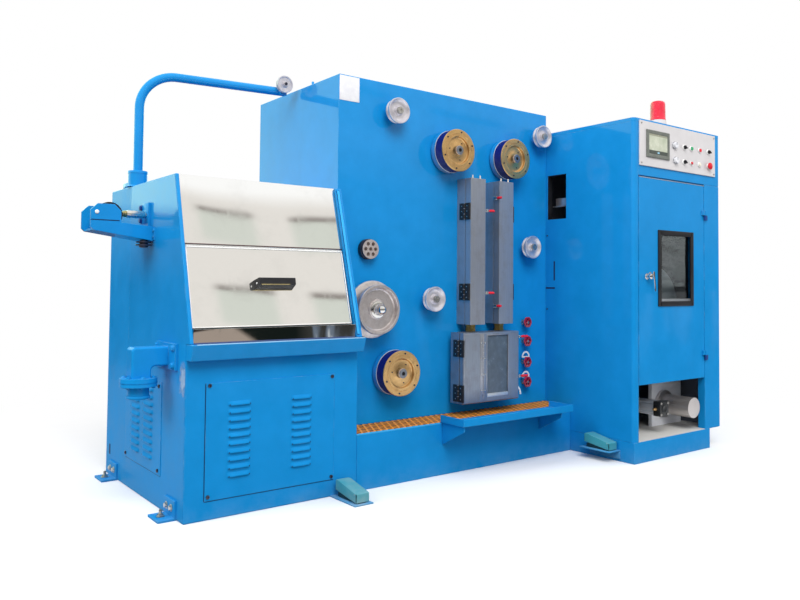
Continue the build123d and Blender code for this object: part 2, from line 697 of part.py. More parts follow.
def grooved_wheel(x, y, z, radius, width, bore, groove, web, front_step=0):
    """A wheel with a running groove, a dished front and a hub; y is its back face.

    front_step is how much smaller the front flange is than the back one.
    """
    rim = radius - groove
    front = radius - front_step
    hub = bore * 2
    flange = width / 6
    turned(x, y, z, [
        (bore, 0),
        (radius, 0),
        (radius, flange),
        (rim, flange * 2),
        (rim, width - flange * 2),
        (front, width - flange),
        (front, width),
        (rim - web, width),
        (rim - web * 2, width - web),
        (hub + web, width - web),
        (hub, width),
        (bore, width),
    ])


def stub_axle(x, seat_y, z, stand, width, bore):
    """A fixed axle from its seat through a wheel that stands off the seat."""
    shaft = bore - WHEEL_RUN
    back_gap = stand - WHEEL_END_GAP
    cap_start = stand + width + WHEEL_END_GAP
    turned(x, seat_y, z, [
        (0, 0),
        (bore + AXLE_SHOULDER, 0),
        (bore + AXLE_SHOULDER, back_gap),
        (shaft, back_gap),
        (shaft, cap_start),
        (bore + AXLE_SHOULDER / 2, cap_start),
        (bore + AXLE_SHOULDER / 2, cap_start + AXLE_CAP_THICKNESS),
        (0, cap_start + AXLE_CAP_THICKNESS),
    ])


ARM_PULLEY_Z = MAST_TOP + ARM_PULLEY_RISE
ARM_PULLEY_X = BOOM_X - LUG_WIDTH / 2

for number, (wheel_x, wheel_z) in enumerate(GUIDE_PLACES, start=1):
    with BuildPart() as guide_pulley:
        grooved_wheel(DRAW_RIGHT + wheel_x, PLATE_Y - GUIDE_STAND, wheel_z,
                      GUIDE_RADIUS, GUIDE_WIDTH, GUIDE_BORE, GUIDE_GROOVE, GUIDE_WEB)
    guide_pulley.part.label = f"guide_pulley_{number}"
    export_step(guide_pulley.part, f"parts/guide_pulley_{number}.step")

for number, (wheel_x, wheel_z) in enumerate(CONTACT_PLACES, start=1):
    with BuildPart() as contact_wheel:
        grooved_wheel(DRAW_RIGHT + wheel_x, PLATE_Y - CONTACT_STAND, wheel_z,
                      CONTACT_RADIUS, CONTACT_WIDTH, CONTACT_BORE, CONTACT_GROOVE, CONTACT_WEB)
    contact_wheel.part.label = f"contact_wheel_{number}"
    export_step(contact_wheel.part, f"parts/contact_wheel_{number}.step")

with BuildPart() as capstan:
    grooved_wheel(DRAW_RIGHT + CAPSTAN_PLACE[0], PLATE_Y - CAPSTAN_STAND, CAPSTAN_PLACE[1],
                  CAPSTAN_RADIUS, CAPSTAN_WIDTH, CAPSTAN_BORE, CAPSTAN_GROOVE, CAPSTAN_WEB,
                  CAPSTAN_FRONT_STEP)
capstan.part.label = "capstan"
export_step(capstan.part, "parts/capstan.step")

with BuildPart() as arm_pulley:
    grooved_wheel(ARM_PULLEY_X, LUG_FRONT - WHEEL_END_GAP * 2, ARM_PULLEY_Z,
                  ARM_PULLEY_RADIUS, ARM_PULLEY_WIDTH, ARM_PULLEY_BORE, ARM_PULLEY_GROOVE, ARM_PULLEY_WEB)
arm_pulley.part.label = "arm_pulley"
export_step(arm_pulley.part, "parts/arm_pulley.step")

with BuildPart() as inlet_pulley:
    grooved_wheel(INLET_X, ARM_MIDDLE + INLET_WIDTH / 2, INLET_HEIGHT, INLET_RADIUS, INLET_WIDTH,
                  INLET_PIN_RADIUS + WHEEL_RUN, GUIDE_GROOVE, GUIDE_WEB)
inlet_pulley.part.label = "inlet_pulley"
export_step(inlet_pulley.part, "parts/inlet_pulley.step")

with BuildPart() as wheel_axles:
    for wheel_x, wheel_z in GUIDE_PLACES:
        stub_axle(DRAW_RIGHT + wheel_x, PLATE_Y, wheel_z, GUIDE_STAND, GUIDE_WIDTH, GUIDE_BORE)
    for wheel_x, wheel_z in CONTACT_PLACES:
        stub_axle(DRAW_RIGHT + wheel_x, PLATE_Y, wheel_z, CONTACT_STAND, CONTACT_WIDTH, CONTACT_BORE)
    stub_axle(DRAW_RIGHT + CAPSTAN_PLACE[0], PLATE_Y, CAPSTAN_PLACE[1],
              CAPSTAN_STAND, CAPSTAN_WIDTH, CAPSTAN_BORE)
    stub_axle(ARM_PULLEY_X, LUG_FRONT, ARM_PULLEY_Z,
              WHEEL_END_GAP * 2, ARM_PULLEY_WIDTH, ARM_PULLEY_BORE)
wheel_axles.part.label = "wheel_axles"
export_step(wheel_axles.part, "parts/wheel_axles.step")

# Perforated hub where the wire leaves the drawing unit
with BuildPart() as wire_outlet_hub:
    rod(DRAW_RIGHT + OUTLET_PLACE[0], PLATE_Y, OUTLET_PLACE[1], OUTLET_RADIUS, OUTLET_LENGTH)
    with BuildSketch(facing_front(DRAW_RIGHT + OUTLET_PLACE[0], PLATE_Y - OUTLET_LENGTH, OUTLET_PLACE[1])):
        Circle(OUTLET_HOLE_RADIUS)
        with PolarLocations(OUTLET_HOLE_CIRCLE, OUTLET_HOLE_COUNT):
            Circle(OUTLET_HOLE_RADIUS)
    extrude(amount=-OUTLET_HOLE_DEPTH, mode=Mode.SUBTRACT)
wire_outlet_hub.part.label = "wire_outlet_hub"
export_step(wire_outlet_hub.part, "parts/wire_outlet_hub.step")

# Annealing tubes and lower box: fixed backs with hinge blocks, and lids that swing on their pins.
# The box stands off the annealer plate on a smaller mounting block.
TUBE_FRONT_Y = FRONT + TUBE_FRONT
TUBE_SPLIT_Y = FRONT + TUBE_SPLIT
BOX_FRONT_Y = FRONT + BOX_FRONT
BOX_SPLIT_Y = FRONT + BOX_SPLIT
BOX_X = DRAW_RIGHT + BOX_LEFT
TUBE_LEFT_SIDES = [DRAW_RIGHT + LEFT_TUBE_X, DRAW_RIGHT + LEFT_TUBE_X + TUBE_PITCH]
HINGE_THIRD = HINGE_HEIGHT / 3


def upright(x, y, foot, top, radius, mode=Mode.ADD):
    """A round bar standing upright between two heights."""
    with BuildSketch(Plane.XY.offset(foot)) as end:
        with Locations((x, y)):
            Circle(radius)
    extrude(end.sketch, amount=top - foot, mode=mode)


def hinge_leaf(side_x, outward, y_from, y_to, foot, top):
    """The flat of a hinge block on a side face; outward is the face's X direction."""
    outer_x = side_x + outward * HINGE_LEAF_THICKNESS
    slab((min(side_x, outer_x), min(y_from, y_to), foot), (max(side_x, outer_x), max(y_from, y_to), top))


def fixed_hinge(side_x, outward, split_y, middle):
    """The fixed half of a hinge: a leaf, two end knuckles and the pin through them."""
    pin_x = side_x + outward * HINGE_KNUCKLE_RADIUS
    foot = middle - HINGE_HEIGHT / 2
    top = middle + HINGE_HEIGHT / 2
    leaf_front = split_y + LID_GAP / 2
    hinge_leaf(side_x, outward, leaf_front, leaf_front + HINGE_LEAF_DEPTH, foot, top)
    upright(pin_x, split_y, foot, foot + HINGE_THIRD, HINGE_KNUCKLE_RADIUS)
    upright(pin_x, split_y, top - HINGE_THIRD, top, HINGE_KNUCKLE_RADIUS)
    slab(
        (pin_x - HINGE_KNUCKLE_RADIUS - KNUCKLE_END_GAP, split_y - HINGE_KNUCKLE_RADIUS, foot + HINGE_THIRD),
        (pin_x + HINGE_KNUCKLE_RADIUS + KNUCKLE_END_GAP, split_y + LID_GAP * 2, top - HINGE_THIRD),
        mode=Mode.SUBTRACT,
    )
    upright(pin_x, split_y, foot, top, HINGE_PIN_RADIUS)


def moving_hinge(side_x, outward, split_y, middle):
    """The lid's half of a hinge: a leaf and the middle knuckle bored for the pin."""
    pin_x = side_x + outward * HINGE_KNUCKLE_RADIUS
    foot = middle - HINGE_HEIGHT / 2 + HINGE_THIRD + KNUCKLE_END_GAP
    top = middle + HINGE_HEIGHT / 2 - HINGE_THIRD - KNUCKLE_END_GAP
    hinge_leaf(side_x, outward, split_y - HINGE_LEAF_DEPTH, split_y - LID_GAP / 2, foot, top)
    hinge_leaf(side_x, outward, split_y - LID_GAP, split_y, foot, top)
    upright(pin_x, split_y, foot, top, HINGE_KNUCKLE_RADIUS)
    upright(pin_x, split_y, foot, top, HINGE_PIN_RADIUS + WHEEL_RUN, mode=Mode.SUBTRACT)


with BuildPart() as annealing_tubes:
    for tube_x, outward in zip(TUBE_LEFT_SIDES, (-1, 1)):
        hinge_side = tube_x if outward < 0 else tube_x + TUBE_WIDTH
        slab(
            (tube_x, TUBE_SPLIT_Y + LID_GAP / 2, TUBE_FOOT),
            (tube_x + TUBE_WIDTH, PLATE_Y, TUBE_TOP),
        )
        upright(tube_x + TUBE_WIDTH / 2, (TUBE_SPLIT_Y + BOX_BACK_Y) / 2, BOX_TOP, TUBE_FOOT, FITTING_RADIUS)
        for hinge_height in TUBE_HINGE_HEIGHTS:
            fixed_hinge(hinge_side, outward, TUBE_SPLIT_Y, TUBE_FOOT + hinge_height)
annealing_tubes.part.label = "annealing_tubes"
export_step(annealing_tubes.part, "parts/annealing_tubes.step")

for lid_name, tube_x, outward in zip(("left_tube_lid", "right_tube_lid"), TUBE_LEFT_SIDES, (-1, 1)):
    hinge_side = tube_x if outward < 0 else tube_x + TUBE_WIDTH
    with BuildPart() as tube_lid:
        slab(
            (tube_x, TUBE_FRONT_Y, TUBE_FOOT),
            (tube_x + TUBE_WIDTH, TUBE_SPLIT_Y - LID_GAP / 2, TUBE_TOP),
        )
        for hinge_height in TUBE_HINGE_HEIGHTS:
            moving_hinge(hinge_side, outward, TUBE_SPLIT_Y, TUBE_FOOT + hinge_height)
    tube_lid.part.label = lid_name
    export_step(tube_lid.part, f"parts/{lid_name}.step")

with BuildPart() as lower_box:
    slab(
        (BOX_X, BOX_SPLIT_Y + LID_GAP / 2, BOX_FOOT),
        (BOX_X + BOX_WIDTH, BOX_BACK_Y, BOX_TOP),
    )
    slab(
        (BOX_X + BOX_BACK_INSET, BOX_BACK_Y, BOX_FOOT + BOX_BACK_INSET),
        (BOX_X + BOX_WIDTH - BOX_BACK_INSET, PLATE_Y, BOX_TOP - BOX_BACK_INSET),
    )
    for hinge_height in BOX_HINGE_HEIGHTS:
        fixed_hinge(BOX_X, -1, BOX_SPLIT_Y, BOX_FOOT + hinge_height)
lower_box.part.label = "lower_box"
export_step(lower_box.part, "parts/lower_box.step")

with BuildPart() as lower_box_lid:
    slab(
        (BOX_X, BOX_FRONT_Y, BOX_FOOT),
        (BOX_X + BOX_WIDTH, BOX_SPLIT_Y - LID_GAP / 2, BOX_TOP),
    )
    fillet(lower_box_lid.faces().sort_by(Axis.Y)[0].edges(), BOX_EDGE)
    slab(
        (BOX_X + BOX_WINDOW_LEFT, BOX_FRONT_Y, BOX_FOOT + BOX_WINDOW_FOOT),
        (BOX_X + BOX_WINDOW_LEFT + BOX_WINDOW_WIDTH, BOX_FRONT_Y + BOX_WINDOW_DEPTH,
         BOX_FOOT + BOX_WINDOW_FOOT + BOX_WINDOW_HEIGHT),
        mode=Mode.SUBTRACT,
    )
    for hinge_height in BOX_HINGE_HEIGHTS:
        moving_hinge(BOX_X, -1, BOX_SPLIT_Y, BOX_FOOT + hinge_height)
lower_box_lid.part.label = "lower_box_lid"
export_step(lower_box_lid.part, "parts/lower_box_lid.step")

# Valve handwheels: a rim with finger holes on a stem that turns in the annealer plate
for number, valve_z in enumerate(VALVE_HEIGHTS, start=1):
    with BuildPart() as valve_wheel:
        stem_back = PLATE_Y - VALVE_SEAT_GAP
        rim_back = PLATE_Y - VALVE_STAND
        rod(DRAW_RIGHT + VALVE_X, stem_back, valve_z, VALVE_STEM_RADIUS, VALVE_STAND)
        rod(DRAW_RIGHT + VALVE_X, rim_back, valve_z, VALVE_HUB_RADIUS, VALVE_HUB_LENGTH)
        with BuildSketch(facing_front(DRAW_RIGHT + VALVE_X, rim_back, valve_z)):
            Circle(VALVE_RIM_RADIUS)
            with PolarLocations(VALVE_HOLE_CIRCLE, VALVE_HOLES):
                Circle(VALVE_HOLE_RADIUS, mode=Mode.SUBTRACT)
        extrude(amount=VALVE_RIM_THICKNESS)
    valve_wheel.part.label = f"valve_wheel_{number}"
    export_step(valve_wheel.part, f"parts/valve_wheel_{number}.step")

# Tool shelf: a folded tray on two gusset plates, bolted to the base front
SHELF_X = DRAW_RIGHT + SHELF_LEFT
SHELF_END = SHELF_X + SHELF_LENGTH
SHELF_Y = FRONT - SHELF_REACH
SHELF_TOP = SHELF_FLOOR + SHELF_LIP
with BuildPart() as shelf:
    slab((SHELF_X, SHELF_Y, SHELF_FLOOR), (SHELF_END, FRONT, SHELF_FLOOR + SHELF_SHEET))
    slab((SHELF_X, SHELF_Y, SHELF_FLOOR), (SHELF_END, SHELF_Y + SHELF_SHEET, SHELF_TOP))
    slab((SHELF_X, SHELF_Y, SHELF_FLOOR), (SHELF_X + SHELF_SHEET, FRONT, SHELF_TOP))
    slab((SHELF_END - SHELF_SHEET, SHELF_Y, SHELF_FLOOR), (SHELF_END, FRONT, SHELF_TOP))
    for gusset_x in (SHELF_X + SHELF_BRACKET_INSET, SHELF_END - SHELF_BRACKET_END_INSET):
        with BuildSketch(Plane.YZ.offset(gusset_x)):
            with BuildLine():
                Polyline(
                    (FRONT, SHELF_FLOOR),
                    (FRONT, SHELF_BRACKET_FOOT),
                    (FRONT - SHELF_BRACKET_REACH, SHELF_BRACKET_NOSE),
                    (FRONT - SHELF_BRACKET_REACH, SHELF_FLOOR),
                    close=True,
                )
            make_face()
        extrude(amount=SHELF_BRACKET_SHEET)
shelf.part.label = "shelf"
export_step(shelf.part, "parts/shelf.step")

# Take-up cabinet: closed rear housing, and a spool chamber of plain panels before it
CABINET_CEILING = TAKEUP_TOP - TAKEUP_ROOF
FRONT_INSIDE = TAKEUP_FRONT + TAKEUP_FRONT_DEPTH
CHAMBER_LEFT = RIGHT + TAKEUP_LEFT_WALL

with BuildPart() as takeup_plinth:
    slab((RIGHT, TAKEUP_FRONT, 0), (RIGHT + PLINTH_WIDTH, BACK, PLINTH_HEIGHT))
takeup_plinth.part.label = "takeup_plinth"
export_step(takeup_plinth.part, "parts/takeup_plinth.step")

with BuildPart() as takeup_housing:
    slab((RIGHT, CHAMBER_BACK, PLINTH_HEIGHT), (TAKEUP_RIGHT, BACK, TAKEUP_TOP))
takeup_housing.part.label = "takeup_housing"
export_step(takeup_housing.part, "parts/takeup_housing.step")

with BuildPart() as takeup_left_wall:
    slab((RIGHT, TAKEUP_FRONT, PLINTH_HEIGHT), (CHAMBER_LEFT, CHAMBER_BACK, CABINET_CEILING))
    front_corner = takeup_left_wall.edges().filter_by(Axis.Z).group_by(Axis.Y)[0].sort_by(Axis.X)[0]
    fillet(front_corner, TAKEUP_CORNER)
    slab(
        (RIGHT, FRONT + WIRE_ENTRY_FRONT, WIRE_ENTRY_FOOT),
        (CHAMBER_LEFT, FRONT + WIRE_ENTRY_FRONT + WIRE_ENTRY_DEPTH, WIRE_ENTRY_FOOT + WIRE_ENTRY_HEIGHT),
        mode=Mode.SUBTRACT,
    )
takeup_left_wall.part.label = "takeup_left_wall"
export_step(takeup_left_wall.part, "parts/takeup_left_wall.step")

with BuildPart() as takeup_right_wall:
    slab(
        (TAKEUP_RIGHT - TAKEUP_RIGHT_WALL, FRONT_INSIDE, PLINTH_HEIGHT),
        (TAKEUP_RIGHT, CHAMBER_BACK, CABINET_CEILING),
    )
takeup_right_wall.part.label = "takeup_right_wall"
export_step(takeup_right_wall.part, "parts/takeup_right_wall.step")

with BuildPart() as takeup_right_post:
    slab((POST_LEFT, TAKEUP_FRONT, PLINTH_HEIGHT), (TAKEUP_RIGHT, FRONT_INSIDE, HEADER_FOOT))
takeup_right_post.part.label = "takeup_right_post"
export_step(takeup_right_post.part, "parts/takeup_right_post.step")

with BuildPart() as takeup_header:
    slab((CHAMBER_LEFT, TAKEUP_FRONT, HEADER_FOOT), (TAKEUP_RIGHT, FRONT_INSIDE, CABINET_CEILING))
takeup_header.part.label = "takeup_header"
export_step(takeup_header.part, "parts/takeup_header.step")

with BuildPart() as takeup_roof:
    slab((RIGHT, TAKEUP_FRONT, CABINET_CEILING), (TAKEUP_RIGHT, CHAMBER_BACK, TAKEUP_TOP))
    roof_corner = takeup_roof.edges().filter_by(Axis.Z).group_by(Axis.Y)[0].sort_by(Axis.X)[0]
    fillet(roof_corner, TAKEUP_CORNER)
takeup_roof.part.label = "takeup_roof"
export_step(takeup_roof.part, "parts/takeup_roof.step")

# Door of the spool chamber: a folded leaf with a window, on two pins along its right edge
DOOR_LEFT = CHAMBER_LEFT + DOOR_GAP
DOOR_RIGHT = POST_LEFT - DOOR_GAP
DOOR_TOP = HEADER_FOOT - DOOR_GAP
DOOR_PIN_X = POST_LEFT - DOOR_GAP / 2
DOOR_PIN_Y = TAKEUP_FRONT - DOOR_KNUCKLE_RADIUS - DOOR_LEAF_THICKNESS / 2
WINDOW_X = RIGHT + TAKEUP_LEFT_WALL + WINDOW_LEFT
LOCK_POST_X = RIGHT + TAKEUP_LEFT_WALL + LOCK_X


def door_knuckle(foot, top, mode=Mode.ADD, radius=DOOR_KNUCKLE_RADIUS):
    """A stretch of hinge barrel on the door's pin axis."""
    upright(DOOR_PIN_X, DOOR_PIN_Y, foot, top, radius, mode=mode)


with BuildPart() as takeup_door:
    slab((DOOR_LEFT, TAKEUP_FRONT, DOOR_FOOT), (DOOR_RIGHT, TAKEUP_FRONT + DOOR_THICKNESS, DOOR_TOP))
    slab(
        (WINDOW_X, TAKEUP_FRONT, WINDOW_FOOT),
        (WINDOW_X + WINDOW_WIDTH, TAKEUP_FRONT + DOOR_THICKNESS, WINDOW_FOOT + WINDOW_HEIGHT),
        mode=Mode.SUBTRACT,
    )
    for hinge_height in DOOR_HINGE_HEIGHTS:
        knuckle_top = hinge_height + DOOR_KNUCKLE_HEIGHT / 2
        slab(
            (DOOR_RIGHT - DOOR_LEAF_WIDTH, DOOR_PIN_Y, hinge_height + KNUCKLE_END_GAP),
            (DOOR_RIGHT, TAKEUP_FRONT, knuckle_top),
        )
        door_knuckle(hinge_height + KNUCKLE_END_GAP, knuckle_top)
        door_knuckle(hinge_height, knuckle_top, Mode.SUBTRACT, DOOR_PIN_RADIUS + WHEEL_RUN)
takeup_door.part.label = "takeup_door"
export_step(takeup_door.part, "parts/takeup_door.step")

with BuildPart() as door_hinges:
    for hinge_height in DOOR_HINGE_HEIGHTS:
        knuckle_foot = hinge_height - DOOR_KNUCKLE_HEIGHT / 2
        knuckle_top = hinge_height + DOOR_KNUCKLE_HEIGHT / 2
        slab(
            (POST_LEFT, DOOR_PIN_Y, knuckle_foot),
            (POST_LEFT + DOOR_LEAF_WIDTH, TAKEUP_FRONT, hinge_height),
        )
        door_knuckle(knuckle_foot, hinge_height)
        door_knuckle(knuckle_foot, knuckle_top, radius=DOOR_PIN_RADIUS)
door_hinges.part.label = "door_hinges"
export_step(door_hinges.part, "parts/door_hinges.step")

with BuildPart() as door_window:
    glass_front = TAKEUP_FRONT + (DOOR_THICKNESS - GLASS_THICKNESS) / 2
    slab(
        (WINDOW_X, glass_front, WINDOW_FOOT),
        (WINDOW_X + WINDOW_WIDTH, glass_front + GLASS_THICKNESS, WINDOW_FOOT + WINDOW_HEIGHT),
    )
door_window.part.label = "door_window"
export_step(door_window.part, "parts/door_window.step")

with BuildPart() as door_lock:
    lever_front = TAKEUP_FRONT - LOCK_LENGTH
    rod(LOCK_POST_X, TAKEUP_FRONT, LOCK_HEIGHT, LOCK_RADIUS, LOCK_LENGTH)
    slab(
        (LOCK_POST_X, lever_front, LOCK_HEIGHT - LEVER_LENGTH + LEVER_WIDTH),
        (LOCK_POST_X + LEVER_WIDTH, lever_front + LEVER_THICKNESS, LOCK_HEIGHT + LEVER_WIDTH / 2),
    )
door_lock.part.label = "door_lock"
export_step(door_lock.part, "parts/door_lock.step")

# Operator panel on the header, with its screen and push buttons, and the beacon on the roof
PANEL_FRONT = TAKEUP_FRONT - PANEL_THICKNESS
with BuildPart() as control_panel:
    slab(
        (RIGHT + PANEL_LEFT, PANEL_FRONT, PANEL_FOOT),
        (RIGHT + PANEL_LEFT + PANEL_WIDTH, TAKEUP_FRONT, PANEL_FOOT + PANEL_HEIGHT),
    )
control_panel.part.label = "control_panel"
export_step(control_panel.part, "parts/control_panel.step")

with BuildPart() as panel_controls:
    slab(
        (RIGHT + SCREEN_LEFT, PANEL_FRONT - SCREEN_THICKNESS, SCREEN_FOOT),
        (RIGHT + SCREEN_LEFT + SCREEN_WIDTH, PANEL_FRONT, SCREEN_FOOT + SCREEN_HEIGHT),
    )
    for row_z in BUTTON_ROWS:
        for place in range(BUTTON_COUNT):
            button_x = RIGHT + BUTTON_FIRST + BUTTON_PITCH * place
            rod(button_x, PANEL_FRONT, row_z, BUTTON_RADIUS, BUTTON_LENGTH)
panel_controls.part.label = "panel_controls"
export_step(panel_controls.part, "parts/panel_controls.step")

with BuildPart() as beacon:
    beacon_x = RIGHT + BEACON_X
    beacon_y = TAKEUP_FRONT + BEACON_INSET
    upright(beacon_x, beacon_y, TAKEUP_TOP, TAKEUP_TOP + BEACON_BASE_HEIGHT, BEACON_BASE_RADIUS)
    upright(beacon_x, beacon_y, TAKEUP_TOP + BEACON_BASE_HEIGHT,
            TAKEUP_TOP + BEACON_BASE_HEIGHT + BEACON_HEIGHT, BEACON_RADIUS)
    fillet(beacon.faces().sort_by(Axis.Z)[-1].edges(), BEACON_DOME)
beacon.part.label = "beacon"
export_step(beacon.part, "parts/beacon.step")

# Spool on its spindle, and the shaft, plate and air cylinder below it
SPOOL_AXIS_X = RIGHT + SPOOL_X
SPOOL_BACK_Y = FRONT + SPOOL_FRONT + SPOOL_LENGTH
SPINDLE_STAND = CHAMBER_BACK - SPOOL_BACK_Y
with BuildPart() as spool:
    turned(SPOOL_AXIS_X, SPOOL_BACK_Y, SPOOL_HEIGHT, [
        (SPINDLE_RADIUS + WHEEL_RUN, 0),
        (SPOOL_FLANGE_RADIUS, 0),
        (SPOOL_FLANGE_RADIUS, SPOOL_FLANGE_THICKNESS),
        (SPOOL_BARREL_RADIUS, SPOOL_FLANGE_THICKNESS),
        (SPOOL_BARREL_RADIUS, SPOOL_LENGTH - SPOOL_FLANGE_THICKNESS),
        (SPOOL_FLANGE_RADIUS, SPOOL_LENGTH - SPOOL_FLANGE_THICKNESS),
        (SPOOL_FLANGE_RADIUS, SPOOL_LENGTH),
        (SPINDLE_RADIUS + WHEEL_RUN, SPOOL_LENGTH),
    ])
spool.part.label = "spool"
export_step(spool.part, "parts/spool.step")

SUPPORT_Y = FRONT + SUPPORT_FRONT
with BuildPart() as takeup_shafts:
    turned(SPOOL_AXIS_X, CHAMBER_BACK, SPOOL_HEIGHT, [
        (0, 0),
        (SPINDLE_SHOULDER_RADIUS, 0),
        (SPINDLE_SHOULDER_RADIUS, SPINDLE_STAND - WHEEL_END_GAP),
        (SPINDLE_RADIUS, SPINDLE_STAND - WHEEL_END_GAP),
        (SPINDLE_RADIUS, SPINDLE_STAND + SPOOL_LENGTH + WHEEL_END_GAP),
        (SPINDLE_CAP_RADIUS, SPINDLE_STAND + SPOOL_LENGTH + WHEEL_END_GAP),
        (SPINDLE_CAP_RADIUS, SPINDLE_STAND + SPOOL_LENGTH + SPINDLE_CAP_LENGTH),
        (0, SPINDLE_STAND + SPOOL_LENGTH + SPINDLE_CAP_LENGTH),
    ])
    rod(RIGHT + TRAVERSE_X, SUPPORT_Y, TRAVERSE_HEIGHT, TRAVERSE_RADIUS, TRAVERSE_LENGTH)
    rod(RIGHT + TRAVERSE_X, SUPPORT_Y, TRAVERSE_HEIGHT, TRAVERSE_COLLAR_RADIUS, TRAVERSE_COLLAR_LENGTH)
takeup_shafts.part.label = "takeup_shafts"
export_step(takeup_shafts.part, "parts/takeup_shafts.step")

with BuildPart() as support_plate:
    support_x = RIGHT + SUPPORT_LEFT
    slab(
        (support_x, SUPPORT_Y, PLINTH_HEIGHT),
        (support_x + SUPPORT_WIDTH, SUPPORT_Y + SUPPORT_THICKNESS, PLINTH_HEIGHT + SUPPORT_HEIGHT),
    )
support_plate.part.label = "support_plate"
export_step(support_plate.part, "parts/support_plate.step")

with BuildPart() as air_cylinder:
    cylinder_x = RIGHT + CYLINDER_X
    cylinder_y = FRONT + CYLINDER_FRONT
    half_cap = CYLINDER_CAP / 2
    slab(
        (cylinder_x - half_cap, cylinder_y, CYLINDER_HEIGHT - half_cap),
        (cylinder_x + half_cap, cylinder_y + CYLINDER_CAP_LENGTH, CYLINDER_HEIGHT + half_cap),
    )
    rod(cylinder_x, CHAMBER_BACK, CYLINDER_HEIGHT, CYLINDER_RADIUS,
        CHAMBER_BACK - cylinder_y - CYLINDER_CAP_LENGTH)
air_cylinder.part.label = "air_cylinder"
export_step(air_cylinder.part, "parts/air_cylinder.step")

# Foot pedals: a cast base on a foot plate, and a treadle that pivots at its low front end
FLOOR_PEDAL = (DRAW_RIGHT - FLOOR_PEDAL_INSET, FRONT, 0)
CABINET_PEDAL = (RIGHT - PEDAL_WIDTH, FRONT + CABINET_PEDAL_SETBACK, CABINET_PEDAL_HEIGHT)
PEDAL_PIVOT_SETBACK = PEDAL_LENGTH - PEDAL_BODY_SETBACK - TREADLE_KNUCKLE_RADIUS


def pivot_height(place):
    """The height of a pedal's pivot above the floor."""
    return place[2] + PEDAL_PLATE + PEDAL_BODY_HEIGHT + PEDAL_PIVOT_RISE


def pedal_bar(place, radius, left, right, mode=Mode.ADD):
    """A bar on a pedal's pivot axis, from left to right across the pedal."""
    pivot_y = place[1] - PEDAL_PIVOT_SETBACK
    with BuildSketch(Plane(origin=(left, pivot_y, pivot_height(place)), z_dir=(1, 0, 0))) as end:
        Circle(radius)
    extrude(end.sketch, amount=right - left, mode=mode)


with BuildPart() as pedal_bases:
    for place in (FLOOR_PEDAL, CABINET_PEDAL):
        pedal_x, pedal_y, pedal_z = place
        body_left = pedal_x + (PEDAL_WIDTH - PEDAL_BODY_WIDTH) / 2
        body_right = body_left + PEDAL_BODY_WIDTH
        body_front = pedal_y - PEDAL_LENGTH + PEDAL_BODY_SETBACK
        body_top = pedal_z + PEDAL_PLATE + PEDAL_BODY_HEIGHT
        slab(
            (pedal_x, pedal_y - PEDAL_LENGTH, pedal_z),
            (pedal_x + PEDAL_WIDTH, pedal_y, pedal_z + PEDAL_PLATE),
        )
        slab((body_left, body_front, pedal_z), (body_right, body_front + PEDAL_BODY_LENGTH, body_top))
        for ear_left in (body_left, body_right - PEDAL_EAR_THICKNESS):
            slab(
                (ear_left, body_front, body_top),
                (ear_left + PEDAL_EAR_THICKNESS, body_front + 2 * TREADLE_KNUCKLE_RADIUS,
                 pivot_height(place) + TREADLE_KNUCKLE_RADIUS),
            )
        pedal_bar(place, PEDAL_PIVOT_RADIUS, body_left, body_right)
    slab(
        (RIGHT - PEDAL_PLATE, CABINET_PEDAL[1] - PEDAL_LENGTH, CABINET_PEDAL_HEIGHT - CABINET_PEDAL_FLANGE),
        (RIGHT, CABINET_PEDAL[1], CABINET_PEDAL_HEIGHT),
    )
pedal_bases.part.label = "pedal_bases"
export_step(pedal_bases.part, "parts/pedal_bases.step")

for treadle_name, place in (("floor_treadle", FLOOR_PEDAL), ("cabinet_treadle", CABINET_PEDAL)):
    ear_room = PEDAL_EAR_THICKNESS + PEDAL_EAR_GAP
    tread_left = place[0] + (PEDAL_WIDTH - PEDAL_BODY_WIDTH) / 2 + ear_room
    tread_right = tread_left + PEDAL_BODY_WIDTH - 2 * ear_room
    pivot_y = place[1] - PEDAL_PIVOT_SETBACK
    pivot_z = pivot_height(place)
    base_top = place[2] + PEDAL_PLATE + PEDAL_BODY_HEIGHT
    with BuildPart() as treadle:
        with BuildSketch(Plane.YZ.offset(tread_left)):
            with BuildLine():
                Polyline(
                    (pivot_y, pivot_z - TREADLE_KNUCKLE_RADIUS / 2),
                    (pivot_y, pivot_z + TREADLE_KNUCKLE_RADIUS),
                    (pivot_y + TREADLE_LENGTH, base_top + TREADLE_BACK_TOP),
                    (pivot_y + TREADLE_LENGTH, base_top + TREADLE_BACK_FOOT),
                    close=True,
                )
            make_face()
        extrude(amount=tread_right - tread_left)
        pedal_bar(place, TREADLE_KNUCKLE_RADIUS, tread_left, tread_right)
        pedal_bar(place, PEDAL_PIVOT_RADIUS + WHEEL_RUN, tread_left, tread_right, Mode.SUBTRACT)
    treadle.part.label = treadle_name
    export_step(treadle.part, f"parts/{treadle_name}.step")
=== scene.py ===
import bmesh
import bpy
import math
from mathutils import Matrix, Vector


